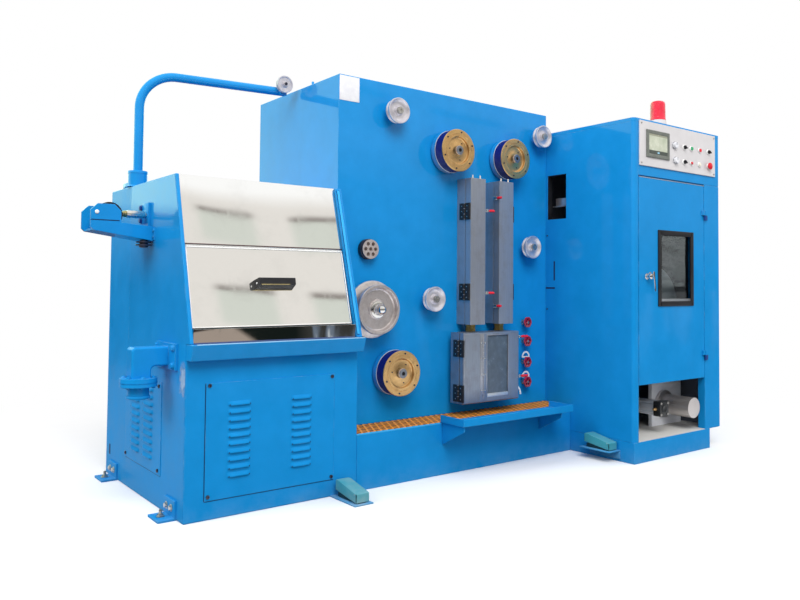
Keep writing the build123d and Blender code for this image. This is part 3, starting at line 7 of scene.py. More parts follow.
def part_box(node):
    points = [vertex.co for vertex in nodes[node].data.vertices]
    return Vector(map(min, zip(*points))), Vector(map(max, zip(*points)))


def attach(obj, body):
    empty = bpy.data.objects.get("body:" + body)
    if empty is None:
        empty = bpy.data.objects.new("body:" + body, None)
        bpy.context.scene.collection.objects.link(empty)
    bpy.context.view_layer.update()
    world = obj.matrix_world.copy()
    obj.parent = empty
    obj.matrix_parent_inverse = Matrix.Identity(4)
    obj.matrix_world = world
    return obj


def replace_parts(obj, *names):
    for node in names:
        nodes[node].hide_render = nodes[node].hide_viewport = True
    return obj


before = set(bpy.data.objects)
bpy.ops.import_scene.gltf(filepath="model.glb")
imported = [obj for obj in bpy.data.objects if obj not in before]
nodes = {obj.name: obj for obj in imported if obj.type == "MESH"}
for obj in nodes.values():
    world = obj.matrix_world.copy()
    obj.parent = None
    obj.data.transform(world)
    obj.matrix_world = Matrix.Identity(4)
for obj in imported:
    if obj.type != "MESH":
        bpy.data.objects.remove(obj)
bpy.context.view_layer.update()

# Line base and closed housings of the drawing unit, the annealer and the take-up.
# Folded and welded sheet steel under one satin coat of blue machine enamel, rubbed pale
# on its folded edges and dusty towards the floor.


def linear(red, green, blue):
    """A screen colour of 0 to 255 as the linear colour that shaders take."""
    def one(value):
        share = value / 255
        return share / 12.92 if share <= 0.04045 else ((share + 0.055) / 1.055) ** 2.4
    return (one(red), one(green), one(blue), 1.0)


def add(tree, kind, inputs=None, **settings):
    """A shader node with its settings, and its inputs as plain values or as links from sockets."""
    node = tree.nodes.new(kind)
    for name, value in settings.items():
        setattr(node, name, value)
    for name, value in (inputs or {}).items():
        if isinstance(value, bpy.types.NodeSocket):
            tree.links.new(value, node.inputs[name])
        else:
            node.inputs[name].default_value = value
    return node


def maths(tree, operation, *values):
    """The result of one sum on shader values."""
    node = add(tree, "ShaderNodeMath", dict(enumerate(values)), operation=operation)
    return node.outputs[0]


def vector_maths(tree, operation, *values):
    """The outputs of one sum on shader vectors."""
    return add(tree, "ShaderNodeVectorMath", dict(enumerate(values)), operation=operation).outputs


def axes_of(tree, vector):
    """The X, Y and Z of a shader vector."""
    return add(tree, "ShaderNodeSeparateXYZ", {0: vector}).outputs


def noise(tree, vector, scale, detail=4.0, roughness=0.55):
    """Cloudy noise from 0 to 1 at so many cells a metre."""
    made = add(tree, "ShaderNodeTexNoise", {"Vector": vector, "Scale": scale, "Detail": detail,
                                            "Roughness": roughness})
    return made.outputs[0]


def ramp(tree, value, low, high, to_low=0.0, to_high=1.0):
    """A value stretched from one range to another and held at its ends."""
    made = add(tree, "ShaderNodeMapRange", {"Value": value, "From Min": low, "From Max": high,
                                            "To Min": to_low, "To Max": to_high})
    return made.outputs[0]


def tint(tree, share, first, second):
    """Two colours mixed by a mask."""
    made = add(tree, "ShaderNodeMix", {0: share, 6: first, 7: second}, data_type="RGBA")
    return made.outputs[2]


def effect(name, inputs, outputs):
    """An empty shader effect with named inputs and outputs, its input sockets and its output sockets."""
    tree = bpy.data.node_groups.new(name, "ShaderNodeTree")
    for label, kind, value in inputs:
        socket = tree.interface.new_socket(label, in_out="INPUT", socket_type=kind)
        socket.default_value = value
    for label, kind in outputs:
        tree.interface.new_socket(label, in_out="OUTPUT", socket_type=kind)
    entry = tree.nodes.new("NodeGroupInput").outputs
    leaving = tree.nodes.new("NodeGroupOutput").inputs
    return tree, entry, leaving


def use(tree, group, **inputs):
    """A shader effect placed in a material, with its own values."""
    node = add(tree, "ShaderNodeGroup", node_tree=group)
    for name, value in inputs.items():
        node.inputs[name].default_value = value
    return node.outputs


def finish_named(name, **sockets):
    """A material with one plain shader, whose sockets take constant values."""
    material = bpy.data.materials.new(name)
    material.use_nodes = True
    tree = material.node_tree
    shader = tree.nodes["Principled BSDF"]
    for label, value in sockets.items():
        shader.inputs[label.replace("_", " ")].default_value = value
    place = add(tree, "ShaderNodeTexCoord").outputs["Object"]
    return material, tree, shader, place


def connect(tree, shader, height=None, bump=0.2, depth=0.001, normal=None, **sockets):
    """Links varying values to the shader, and a height through a bump to its normal."""
    for label, value in sockets.items():
        tree.links.new(value, shader.inputs[label.replace("_", " ")])
    if height is not None:
        made = add(tree, "ShaderNodeBump", {"Height": height, "Strength": bump, "Distance": depth})
        if normal is not None:
            tree.links.new(normal, made.inputs["Normal"])
        normal = made.outputs["Normal"]
    if normal is not None:
        tree.links.new(normal, shader.inputs["Normal"])


def edge_wear_effect():
    """Edges seen as rounded, and a mask of the spots on them where hands and tools rub."""
    tree, entry, leaving = effect(
        "worn edges",
        [("Radius", "NodeSocketFloat", 0.004), ("Patch Scale", "NodeSocketFloat", 14.0)],
        [("Wear", "NodeSocketFloat"), ("Normal", "NodeSocketVector")])
    place = add(tree, "ShaderNodeTexCoord").outputs["Object"]
    rounded = add(tree, "ShaderNodeBevel", {"Radius": entry["Radius"]}, samples=4).outputs[0]
    flat = add(tree, "ShaderNodeNewGeometry").outputs["Normal"]
    edge = ramp(tree, vector_maths(tree, "DOT_PRODUCT", rounded, flat)["Value"], 0.995, 0.86)
    patch = noise(tree, place, entry["Patch Scale"], 6.0, 0.7)
    tree.links.new(maths(tree, "MULTIPLY", edge, ramp(tree, patch, 0.47, 0.66)), leaving["Wear"])
    tree.links.new(rounded, leaving["Normal"])
    return tree


def dust_effect():
    """A mask of the dust and splashes that gather low down and on upward faces."""
    tree, entry, leaving = effect(
        "settled dust",
        [("Reach", "NodeSocketFloat", 0.12), ("Streak Scale", "NodeSocketFloat", 9.0)],
        [("Dust", "NodeSocketFloat"), ("Cloud", "NodeSocketFloat")])
    place = add(tree, "ShaderNodeTexCoord").outputs["Object"]
    height = axes_of(tree, place)["Z"]
    low_down = maths(tree, "SUBTRACT", 1.0, maths(tree, "DIVIDE", height, entry["Reach"]))
    low_down = maths(tree, "POWER", maths(tree, "MAXIMUM", low_down, 0.0), 2.0)
    normal = add(tree, "ShaderNodeNewGeometry").outputs["Normal"]
    upward = ramp(tree, axes_of(tree, normal)["Z"], 0.5, 1.0, 0.0, 0.35)
    cloud = noise(tree, place, entry["Streak Scale"], 7.0, 0.62)
    gathered = maths(tree, "MULTIPLY", maths(tree, "ADD", low_down, upward), ramp(tree, cloud, 0.35, 0.75))
    tree.links.new(gathered, leaving["Dust"])
    tree.links.new(cloud, leaving["Cloud"])
    return tree


worn_edges = edge_wear_effect()
settled_dust = dust_effect()


def shaded(colour, times, plus=0.0):
    """A colour made darker or paler."""
    return tuple(min(1.0, share * times + plus) for share in colour[:3]) + (1.0,)


def enamel(name, colour, rubbed, gloss=0.34, dust_share=0.5, shine=0.6):
    """Machine enamel: clouded colour, orange peel, dust and rubbed edges, dulled towards the floor."""
    material, tree, shader, place = finish_named(name, IOR=1.5, Specular_IOR_Level=0.03, Coat_Roughness=0.06)
    polish = ramp(tree, axes_of(tree, place)["Z"], 0.4, 1.15, 0.05, shine)
    dust = use(tree, settled_dust)
    wear = use(tree, worn_edges)
    deep = shaded(colour, 0.95)
    colour_now = tint(tree, ramp(tree, dust["Cloud"], 0.3, 0.7), deep, shaded(colour, 1.05, 0.002))
    dust_mask = maths(tree, "MULTIPLY", dust["Dust"], dust_share)
    colour_now = tint(tree, dust_mask, colour_now, linear(176, 178, 172))
    colour_now = tint(tree, maths(tree, "MULTIPLY", wear["Wear"], 0.55), colour_now, rubbed)
    peel = noise(tree, place, 420.0, 2.0)
    rough = ramp(tree, dust["Cloud"], 0.3, 0.7, gloss - 0.05, gloss + 0.1)
    rough = maths(tree, "ADD", rough, maths(tree, "MULTIPLY", dust["Dust"], 0.4))
    connect(tree, shader, peel, 0.06, 0.0006, wear["Normal"], Base_Color=colour_now, Roughness=rough,
            Coat_Weight=polish)
    return material


def dress(material, *names):
    """Gives CAD nodes a finish."""
    for name in names:
        nodes[name].data.materials.clear()
        nodes[name].data.materials.append(material)


def soften(width, *names):
    """Rounds the folded edges of CAD nodes by a small radius."""
    for name in names:
        joined = nodes[name].modifiers.new("joined", "WELD")
        joined.merge_threshold = 0.00005
        rounded = nodes[name].modifiers.new("rounded", "BEVEL")
        rounded.width = width
        rounded.segments = 2
        rounded.limit_method = "ANGLE"
        rounded.angle_limit = math.radians(40)
        rounded.harden_normals = False
        nodes[name].modifiers.new("flat faces", "WEIGHTED_NORMAL")


MACHINE_BLUE = linear(18, 140, 210)
RUBBED_BLUE = linear(150, 196, 224)
machine_blue = enamel("machine blue enamel", MACHINE_BLUE, RUBBED_BLUE, 0.36, 0.18)
SHEET_FOLD = 0.0035
blue_housings = ["drawing_unit_base", "annealer_base", "annealer_housing", "end_plates",
                 "drawing_rear_housing", "drawing_roof", "sill", "takeup_plinth", "takeup_housing",
                 "takeup_left_wall", "takeup_right_wall", "takeup_right_post", "takeup_header", "takeup_roof"]
dress(machine_blue, *blue_housings)
soften(SHEET_FOLD, *blue_housings)

# Vent panels of the drawing unit: thin steel covers held by a black screw in each corner.
# Each has two columns of louvres pressed out of the sheet, open along their lower edge.
FRAME_BODY = "frame"
FRONTWARD = (0, -1, 0)


def piece(name, shape, material, body=FRAME_BODY, angle=38, place=None):
    """A finished shape, smooth up to an angle, that rides on a body."""
    bmesh.ops.recalc_face_normals(shape, faces=shape.faces)
    mesh = bpy.data.meshes.new(name)
    shape.to_mesh(mesh)
    shape.free()
    mesh.polygons.foreach_set("use_smooth", [True] * len(mesh.polygons))
    mesh.set_sharp_from_angle(angle=math.radians(angle))
    mesh.materials.append(material)
    made = bpy.data.objects.new(name, mesh)
    if place is not None:
        made.matrix_world = place
    bpy.context.scene.collection.objects.link(made)
    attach(made, body)
    return made


def bridge(shape, rows, closed=True):
    """Faces between each two rows of corners; a closed row goes round to its first corner."""
    for lower, upper in zip(rows, rows[1:]):
        for index in range(len(lower) if closed else len(lower) - 1):
            after = (index + 1) % len(lower)
            shape.faces.new((lower[index], lower[after], upper[after], upper[index]))


def spin(shape, outline, at=(0, 0, 0), along=FRONTWARD, steps=48):
    """Turns an outline of (radius, distance) pairs about an axis through a point."""
    turn = Vector((0, 0, 1)).rotation_difference(Vector(along)).to_matrix().to_4x4()
    place = Matrix.Translation(at) @ turn
    rings = []
    for radius, distance in outline:
        ring = []
        for index in range(steps if radius > 1e-6 else 1):
            angle = 2 * math.pi * index / steps
            corner = Vector((radius * math.cos(angle), radius * math.sin(angle), distance))
            ring.append(shape.verts.new(place @ corner))
        rings.append(ring)
    for lower, upper in zip(rings, rings[1:]):
        for index in range(steps):
            after = (index + 1) % steps
            corners = [lower[index % len(lower)], lower[after % len(lower)],
                       upper[after % len(upper)], upper[index % len(upper)]]
            corners = list(dict.fromkeys(corners))
            if len(corners) > 2:
                shape.faces.new(corners)


def socket_screw(shape, at, along, size):
    """A round screw head with a hexagon socket in it."""
    socket = size * 0.5
    top = size * 0.7
    spin(shape, [(size, 0), (size, size * 0.55), (size * 0.85, top), (socket, top)], at, along, 20)
    spin(shape, [(socket, top), (socket, size * 0.25), (0, size * 0.25)], at, along, 6)


def stretch(tree, place, scale, turn=(0.0, 0.0, 0.0)):
    """A place drawn out along its axes, for marks that run one way."""
    return add(tree, "ShaderNodeMapping", {"Vector": place, "Scale": scale, "Rotation": turn}).outputs[0]


def steel(name, colour, rough=0.3, grain_scale=(300.0, 300.0, 8.0), stain=0.25, metallic=1.0):
    """Bare or plated steel with a fine drawn grain and darker stains."""
    material, tree, shader, place = finish_named(name, Metallic=metallic)
    grain = noise(tree, stretch(tree, place, grain_scale), 1.0, 3.0)
    blot = noise(tree, place, 11.0, 6.0, 0.65)
    dark = shaded(colour, 0.55)
    mask = maths(tree, "MULTIPLY", ramp(tree, blot, 0.45, 0.8), stain)
    colour_now = tint(tree, mask, colour, dark)
    colour_now = tint(tree, ramp(tree, grain, 0.3, 0.7, 0.0, 0.22), colour_now, dark)
    rough_now = maths(tree, "ADD", ramp(tree, grain, 0.25, 0.75, rough - 0.06, rough + 0.09),
                      maths(tree, "MULTIPLY", mask, 0.3))
    wear = use(tree, worn_edges, Radius=0.0015)
    connect(tree, shader, grain, 0.1, 0.0004, wear["Normal"], Base_Color=colour_now, Roughness=rough_now)
    return material


def moulded(name, colour, rough=0.5):
    """Moulded plastic, rubber and plain paint with a fine leathery grain."""
    material, tree, shader, place = finish_named(name, IOR=1.48)
    grain = noise(tree, place, 900.0, 3.0)
    blot = noise(tree, place, 26.0, 5.0)
    pale = shaded(colour, 1.8, 0.01)
    colour_now = tint(tree, ramp(tree, blot, 0.4, 0.8, 0.0, 0.6), colour, pale)
    rough_now = ramp(tree, blot, 0.3, 0.7, rough - 0.08, rough + 0.1)
    wear = use(tree, worn_edges, Radius=0.001)
    connect(tree, shader, grain, 0.12, 0.0003, wear["Normal"], Base_Color=colour_now, Roughness=rough_now)
    return material


dark_screw = steel("blackened screws", linear(86, 86, 100), 0.42)
shadow_gap = moulded("shadow in a gap", linear(14, 38, 74), 0.85)

base_low, base_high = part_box("drawing_unit_base")
vent_low, vent_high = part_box("vent_panels")
FRONT_FACE = base_low.y
LEFT_FACE = base_low.x
BACK_FACE = base_high.y
DRAW_RIGHT = base_high.x
VENT_SHEET = FRONT_FACE - vent_low.y
LOUVRE_COUNT = 10
LOUVRE_PITCH = 0.0311
LOUVRE_HEIGHT = 0.017
LOUVRE_DEPTH = 0.0085
LOUVRE_PROUD = 0.0002
LOUVRE_SLOT = 0.005
LIP_FOLD = 0.0016
LIP_RISE = 0.0004
SEAM_WIDTH = 0.0028
SEAM_PROUD = 0.0006
PANEL_SCREW = 0.0075


def louvre(shape, slots, middle, width, across, out):
    """One pressed louvre: a hood that rises from its top edge to an open lower lip, and a plane of painted
    shade in its slot.
    """
    columns = 12
    rows = 5
    ends = [1 - abs(2 * column / columns - 1) ** 5 for column in range(columns + 1)]
    grid = []
    for row in range(rows + 1):
        share = row / rows
        line = []
        for column, end in enumerate(ends):
            along = 2 * column / columns - 1
            rise = LOUVRE_DEPTH * math.sin(share * math.pi / 2) * math.sqrt(end)
            corner = middle + across * (along * width / 2) + out * (rise + LOUVRE_PROUD)
            corner.z += LOUVRE_HEIGHT * (0.5 - share)
            line.append(shape.verts.new(corner))
        grid.append(line)
    fold = [shape.verts.new(corner.co - out * LIP_FOLD * end + Vector((0, 0, LIP_RISE)))
            for corner, end in zip(grid[-1], ends)]
    bridge(shape, grid + [fold], closed=False)
    foot = middle - Vector((0, 0, LOUVRE_HEIGHT / 2))
    half = across * (width * 0.46)
    rise = Vector((0, 0, LOUVRE_SLOT))
    shift = out * (LOUVRE_DEPTH * 0.72)
    behind = [foot - half, foot + half, foot + half + rise, foot - half + rise]
    slots.faces.new([slots.verts.new(corner + shift) for corner in behind])
    under = [foot - half, foot + half, foot + half + shift, foot - half + shift]
    slots.faces.new([slots.verts.new(corner + out * 0.0003) for corner in under])


def vent_panel(name, low, high, columns, first, out, screws):
    """Louvres, painted shadow strips along three edges and screws on one panel; low and high are its corners
    on the face.
    """
    across = Vector((0, 0, 1)).cross(out)
    start = Vector(low)
    width = across * (Vector(high) - start).dot(across)
    height = Vector((0, 0, high[2] - low[2]))
    hoods = bmesh.new()
    dark = bmesh.new()
    for column_left, column_right in columns:
        for index in range(LOUVRE_COUNT):
            middle = start + across * ((column_left + column_right) / 2)
            middle.z = first + index * LOUVRE_PITCH
            louvre(hoods, dark, middle, column_right - column_left, across, out)
    # Dark strips along the left, bottom and right edges are painted shadow in the gap round the panel.
    sunk = out * (2 * SEAM_PROUD - VENT_SHEET)
    for corner, run in ((start, width), (start, height), (start + width, height)):
        side = (across if run.z else Vector((0, 0, 1))) * SEAM_WIDTH
        ends = [corner - side, corner - side + run, corner + run, corner]
        dark.faces.new([dark.verts.new(point + sunk) for point in ends])
    heads = bmesh.new()
    for screw_across, screw_height in screws:
        at = start + across * screw_across
        at.z = screw_height
        socket_screw(heads, at, out, PANEL_SCREW)
    piece(name + "_louvres", hoods, machine_blue, angle=60)
    piece(name + "_painted_shade", dark, shadow_gap)
    piece(name + "_screws", heads, dark_screw)


dress(machine_blue, "vent_panels")
FRONT_VENT_LEFT = LEFT_FACE + 0.08
FRONT_VENT_TOP = 0.528
vent_panel("front_vent", (FRONT_VENT_LEFT, vent_low.y, vent_low.z), (vent_high.x, vent_low.y, FRONT_VENT_TOP),
           ((0.091, 0.188), (0.368, 0.463)), 0.163, Vector(FRONTWARD),
           ((0.014, 0.519), (0.563, 0.517), (0.563, 0.087), (0.013, 0.09)))
SIDE_VENT_REACH = 0.466
SIDE_VENT_FOOT = 0.132
SIDE_VENT_TOP = 0.512
vent_panel("side_vent", (vent_low.x, vent_high.y, SIDE_VENT_FOOT),
           (vent_low.x, vent_high.y - SIDE_VENT_REACH, SIDE_VENT_TOP),
           ((0.087, 0.196), (0.246, 0.365)), 0.19, Vector((-1, 0, 0)),
           ((0.015, 0.493), (0.438, 0.493), (0.438, 0.15), (0.015, 0.15)))

# Side skins of the drawing unit: one sheet on each end from the floor to the hood's top, so that
# base and hood read as one wall. The rear panel of the left one is duller, with a lifting slot.


def block(shape, low, high, edge=0.0, turn=None, segments=2):
    """A block between two corners, its edges rounded, turned by a matrix if one is given."""
    made = bmesh.ops.create_cube(shape, size=1.0)["verts"]
    size = [b - a for a, b in zip(low, high)]
    middle = [(a + b) / 2 for a, b in zip(low, high)]
    bmesh.ops.scale(shape, vec=size, verts=made)
    bmesh.ops.translate(shape, vec=middle, verts=made)
    if turn is not None:
        bmesh.ops.transform(shape, matrix=turn, verts=made)
    if edge:
        edges = list({e for v in made for e in v.link_edges})
        bmesh.ops.bevel(shape, geom=edges, offset=edge, segments=segments, profile=0.5, affect="EDGES")


def plate(name, material, low, high, edge=0.0, body=FRAME_BODY, turn=None, segments=2):
    """One block as a piece of its own."""
    shape = bmesh.new()
    block(shape, low, high, edge, turn, segments)
    return piece(name, shape, material, body)


def side_sheet(shape, outline, face_x, back_x):
    """A thin sheet on an end wall, with a rim from its face back to the wall."""
    back, face = ([shape.verts.new((x, y, z)) for y, z in outline] for x in (back_x, face_x))
    shape.faces.new(face)
    bridge(shape, [back, face])


SKIN = 0.0008
SKIN_INSET = 0.005
SKIN_JOINT = 0.203
hood_low, hood_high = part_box("end_plates")
HOOD_TOP = hood_high.z
SLOPE_RUN = 0.195
SLOPE_RISE = HOOD_TOP - hood_low.z
SKIN_TOP = HOOD_TOP - SKIN_INSET
SKIN_FRONT = FRONT_FACE + SKIN_INSET
SKIN_SLOPE = hood_low.y + SKIN_INSET
SKIN_BACK = BACK_FACE - SKIN_INSET
front_outline = [(SKIN_FRONT, SKIN_INSET), (SKIN_FRONT, hood_low.z), (SKIN_SLOPE, hood_low.z),
                 (SKIN_SLOPE + SLOPE_RUN, SKIN_TOP), (SKIN_JOINT, SKIN_TOP), (SKIN_JOINT, SKIN_INSET)]
rear_outline = [(SKIN_JOINT, SKIN_INSET), (SKIN_JOINT, SKIN_TOP), (SKIN_BACK, SKIN_TOP),
                (SKIN_BACK, SKIN_INSET)]
dull_blue = enamel("machine blue enamel, dull", MACHINE_BLUE, RUBBED_BLUE, 0.4, 0.3, 0.3)
for skin_name, side_outline, finish in (("front_side_skins", front_outline, machine_blue),
                                        ("rear_side_skins", rear_outline, dull_blue)):
    skins = bmesh.new()
    for skin_x, out in ((LEFT_FACE, -SKIN), (DRAW_RIGHT, SKIN)):
        side_sheet(skins, side_outline, skin_x + out, skin_x - out)
    piece(skin_name, skins, finish)

LIFT_SLOT_Y = 0.4515
plate("side_panel_slot", shadow_gap, (LEFT_FACE - SKIN - 0.0005, LIFT_SLOT_Y - 0.009, 0.098),
      (LEFT_FACE, LIFT_SLOT_Y + 0.009, 0.146), 0.0004)


def scuffed_paint(name, colour):
    """Paint rubbed pale in one soft patch, that fades out through its own noise."""
    material, tree, shader, place = finish_named(name, Roughness=0.3, Specular_IOR_Level=0.2)
    middle = vector_maths(tree, "SUBTRACT", place, (LEFT_FACE, FRONT_FACE + 0.03, 0.548))[0]
    reach = vector_maths(tree, "MULTIPLY", middle, (0.0, 26.0, 15.0))[0]
    away = vector_maths(tree, "LENGTH", reach)["Value"]
    ragged = maths(tree, "ADD", away, ramp(tree, noise(tree, place, 34.0, 5.0, 0.6), 0.3, 0.7, -0.3, 0.3))
    pale = tint(tree, noise(tree, place, 60.0, 4.0), colour, linear(204, 218, 236))
    connect(tree, shader, Base_Color=pale, Alpha=ramp(tree, ragged, 1.0, 0.45, 0.0, 0.75))
    return material


SCUFF_X = LEFT_FACE - SKIN - 0.0004
SCUFF_NEAR = FRONT_FACE + 0.006
SCUFF_FAR = FRONT_FACE + 0.078
SCUFF_FOOT = 0.48
SCUFF_TOP = 0.618
scuff = bmesh.new()
side_sheet(scuff, [(SCUFF_NEAR, SCUFF_FOOT), (SCUFF_FAR, SCUFF_FOOT), (SCUFF_FAR, SCUFF_TOP),
                   (SCUFF_NEAR, SCUFF_TOP)], SCUFF_X, SCUFF_X + 0.0003)
rubbed_patch = scuffed_paint("scuffed blue paint", linear(136, 186, 226))
piece("scuffed_paint_patch", scuff, rubbed_patch)

# Floor anchors: angle brackets bolted twice to the left side and once to the floor,
# painted with the machine and set with bright zinc plated bolts.
LEFTWARD = (-1, 0, 0)
UPWARD = (0, 0, 1)


def bolt(shape, at, along, size):
    """A hexagon head on a washer; size is half the head's width over its corners."""
    washer = size * 1.35
    foot = size * 0.2
    top = size * 0.95
    spin(shape, [(washer, 0), (washer, foot), (0, foot)], at, along, 24)
    spin(shape, [(size, foot), (size, size * 0.75), (size * 0.86, top), (0, top)], at, along, 6)


zinc_bolt = steel("zinc plated bolts", linear(196, 194, 190), 0.28)
dress(machine_blue, "anchor_brackets")
soften(0.0015, "anchor_brackets")
anchor_low, anchor_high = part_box("anchor_brackets")
ANCHOR_PLATE = 0.01
ANCHOR_WIDTH = 0.115
anchor_bolts = bmesh.new()
for middle in (anchor_low.y + ANCHOR_WIDTH / 2, anchor_high.y - ANCHOR_WIDTH / 2):
    for shift in (-0.026, 0.026):
        bolt(anchor_bolts, (LEFT_FACE - ANCHOR_PLATE, middle + shift, 0.044), LEFTWARD, 0.0105)
    floor_bolt = (LEFT_FACE - 0.042, middle, ANCHOR_PLATE)
    bolt(anchor_bolts, floor_bolt, UPWARD, 0.0125)
    spin(anchor_bolts, [(0.0062, 0.009), (0.0062, 0.026), (0.005, 0.028), (0, 0.028)], floor_bolt, UPWARD, 16)
piece("anchor_bolts", anchor_bolts, zinc_bolt)

# Drain elbow: a painted casting clamped to the left side by four bolts, with a bolted outlet flange
# whose short stub takes the drain hose.
DOWNWARD = (0, 0, -1)


def turns(count, first=0.0):
    """So many angles, equally far apart, that make a full turn."""
    return [2 * math.pi * index / count + first for index in range(count)]


dress(machine_blue, "drain_elbow")
soften(0.0015, "drain_elbow")
drain_low, drain_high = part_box("drain_elbow")
DRAIN_PLATE = 0.012
DRAIN_X = LEFT_FACE - 0.114
DRAIN_Y = (drain_low.y + drain_high.y) / 2
DRAIN_Z = drain_high.z - 0.052
FLANGE_FOOT = drain_low.z + 0.048
FLANGE_TOP = FLANGE_FOOT + 0.034
BOLT_CIRCLE = 0.056
drain_details = bmesh.new()
for side in (-0.092, 0.092):
    for rise in (-0.034, 0.034):
        bolt(drain_details, (LEFT_FACE - DRAIN_PLATE, DRAIN_Y + side, DRAIN_Z + rise), LEFTWARD, 0.0115)
for turn in turns(6, math.pi / 6):
    bolt_x = DRAIN_X + BOLT_CIRCLE * math.cos(turn)
    bolt_y = DRAIN_Y + BOLT_CIRCLE * math.sin(turn)
    bolt(drain_details, (bolt_x, bolt_y, FLANGE_FOOT), DOWNWARD, 0.0075)
    bolt(drain_details, (bolt_x, bolt_y, FLANGE_TOP), UPWARD, 0.0075)
spin(drain_details, [(0.042, 0.0), (0.0455, 0.004), (0.0455, 0.01), (0.042, 0.013)],
     (DRAIN_X, DRAIN_Y, drain_low.z + 0.013), DOWNWARD, 40)
spin(drain_details, [(0.0715, 0.0), (0.0715, 0.0012), (0.039, 0.0012)],
     (DRAIN_X, DRAIN_Y, FLANGE_FOOT + 0.0165), DOWNWARD)
piece("drain_bolts", drain_details, machine_blue)

# Inlet arm: a painted plate trough on the left side that carries a black nylon pulley, a chromed
# guide roller on a shaft from the wall plate, and the washers of the arm's swivel below its root.


def turned(name, material, outline, at=(0, 0, 0), along=FRONTWARD, steps=48, body=FRAME_BODY,
           angle=38, place=None):
    """One turned shape as a piece of its own."""
    shape = bmesh.new()
    spin(shape, outline, at, along, steps)
    return piece(name, shape, material, body, angle, place)


dress(machine_blue, "inlet_arm")
soften(0.002, "inlet_arm")
arm_low, arm_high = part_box("inlet_arm")
ARM_FRONT = arm_low.y
ARM_MIDDLE_Y = (arm_low.y + arm_high.y) / 2
WALL_PLATE = LEFT_FACE - 0.012
PAD_FACE = WALL_PLATE - 0.0008
CLIP_FACE = LEFT_FACE - 0.005
arm_pads = bmesh.new()
block(arm_pads, (PAD_FACE, ARM_FRONT + 0.046, 1.172), (WALL_PLATE + 0.001, arm_high.y - 0.002, 1.26), 0.0003)
block(arm_pads, (CLIP_FACE, ARM_FRONT - 0.014, 1.097), (LEFT_FACE, ARM_FRONT + 0.002, 1.15), 0.0012)
for bolt_z in (1.112, 1.137):
    bolt(arm_pads, (CLIP_FACE, ARM_FRONT - 0.007, bolt_z), LEFTWARD, 0.0048)
piece("inlet_arm_pads", arm_pads, dull_blue)
pad_bolts = bmesh.new()
for bolt_z in (1.243, 1.188):
    bolt(pad_bolts, (PAD_FACE, arm_high.y - 0.016, bolt_z), LEFTWARD, 0.0105)
# Navy paint stands for shade: the pad bolts are machine blue in the arm's shade.
navy = moulded("navy paint in shade", linear(10, 58, 128), 0.4)
piece("inlet_arm_bolts", pad_bolts, navy)
plate("inlet_arm_seam", shadow_gap, (LEFT_FACE - 0.2545, ARM_FRONT - 0.0006, 1.171),
      (LEFT_FACE - 0.142, ARM_FRONT + 0.002, 1.1748))

RING_GRAIN = (60.0, 400.0, 400.0)
chrome = steel("polished chrome", linear(224, 223, 220), 0.1, RING_GRAIN, 0.08)
gilt = steel("yellow plated collar", linear(206, 188, 132), 0.22, RING_GRAIN, 0.2)
roller_steel = steel("bright roller steel", linear(238, 234, 226), 0.24, RING_GRAIN, 0.1)
# White plastic for caps, collars and a latch, also used as the white of painted highlights.
white_cap_and_highlight = moulded("white plastic and painted highlights", linear(240, 240, 238), 0.3)
ROLLER_Z = 1.209
turned("inlet_roller", roller_steel,
       [(0.011, 0.0), (0.011, 0.006), (0.015, 0.007), (0.0165, 0.01), (0.0165, 0.076), (0.015, 0.082),
        (0.0125, 0.083), (0.0, 0.083)], (WALL_PLATE, ARM_MIDDLE_Y, ROLLER_Z), LEFTWARD)
# A domed bolt on the arm's front, white as a painted highlight in place of its shine.
turned("inlet_arm_bolt_highlight", white_cap_and_highlight, [(0.0085, 0.0), (0.0085, 0.0025), (0.006, 0.0055), (0.0, 0.0065)],
       (LEFT_FACE - 0.231, ARM_FRONT, 1.205), steps=28)
turned("inlet_roller_collar", gilt,
       [(0.0125, 0.0), (0.014, 0.001), (0.014, 0.009), (0.0115, 0.01), (0.0115, 0.0145), (0.0, 0.0145)],
       (WALL_PLATE - 0.0832, ARM_MIDDLE_Y, ROLLER_Z), LEFTWARD, 40)
turned("inlet_arm_swivel", dark_screw,
       [(0.016, 0.0), (0.016, 0.006), (0.03, 0.0065), (0.031, 0.0115), (0.017, 0.012), (0.017, 0.018),
        (0.032, 0.0185), (0.033, 0.024), (0.018, 0.025), (0.018, 0.031), (0.012, 0.033), (0.0, 0.033)],
       (LEFT_FACE - 0.036, ARM_FRONT + 0.022, arm_low.z + 0.004), DOWNWARD, 40)


def hub_of(node):
    """The middle of a wheel's box, and its half width and radius."""
    low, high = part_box(node)
    return (low + high) / 2, (high.y - low.y) / 2, (high.z - low.z) / 2


black_nylon = moulded("black moulding", linear(26, 26, 30), 0.42)
middle, half, radius = hub_of("inlet_pulley")
half_outline = [(0.009, half), (radius * 0.5, half), (radius * 0.55, half * 0.6), (radius * 0.74, half * 0.6),
                (radius * 0.8, half), (radius, half), (radius, half * 0.8), (radius - 0.012, 0.003)]
wheel_outline = [(reach, -along) for reach, along in half_outline] + half_outline[::-1]
nylon_pulley = turned("nylon_inlet_pulley", black_nylon, wheel_outline, steps=56, body="inlet_wheel",
                      place=Matrix.Translation(middle))
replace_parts(nylon_pulley, "inlet_pulley")

# Mirror cover of the drawing chamber: polished stainless sheets in the sloped front.
# The lower leaf lifts on a piano hinge along the seam by a black moulded pull handle.


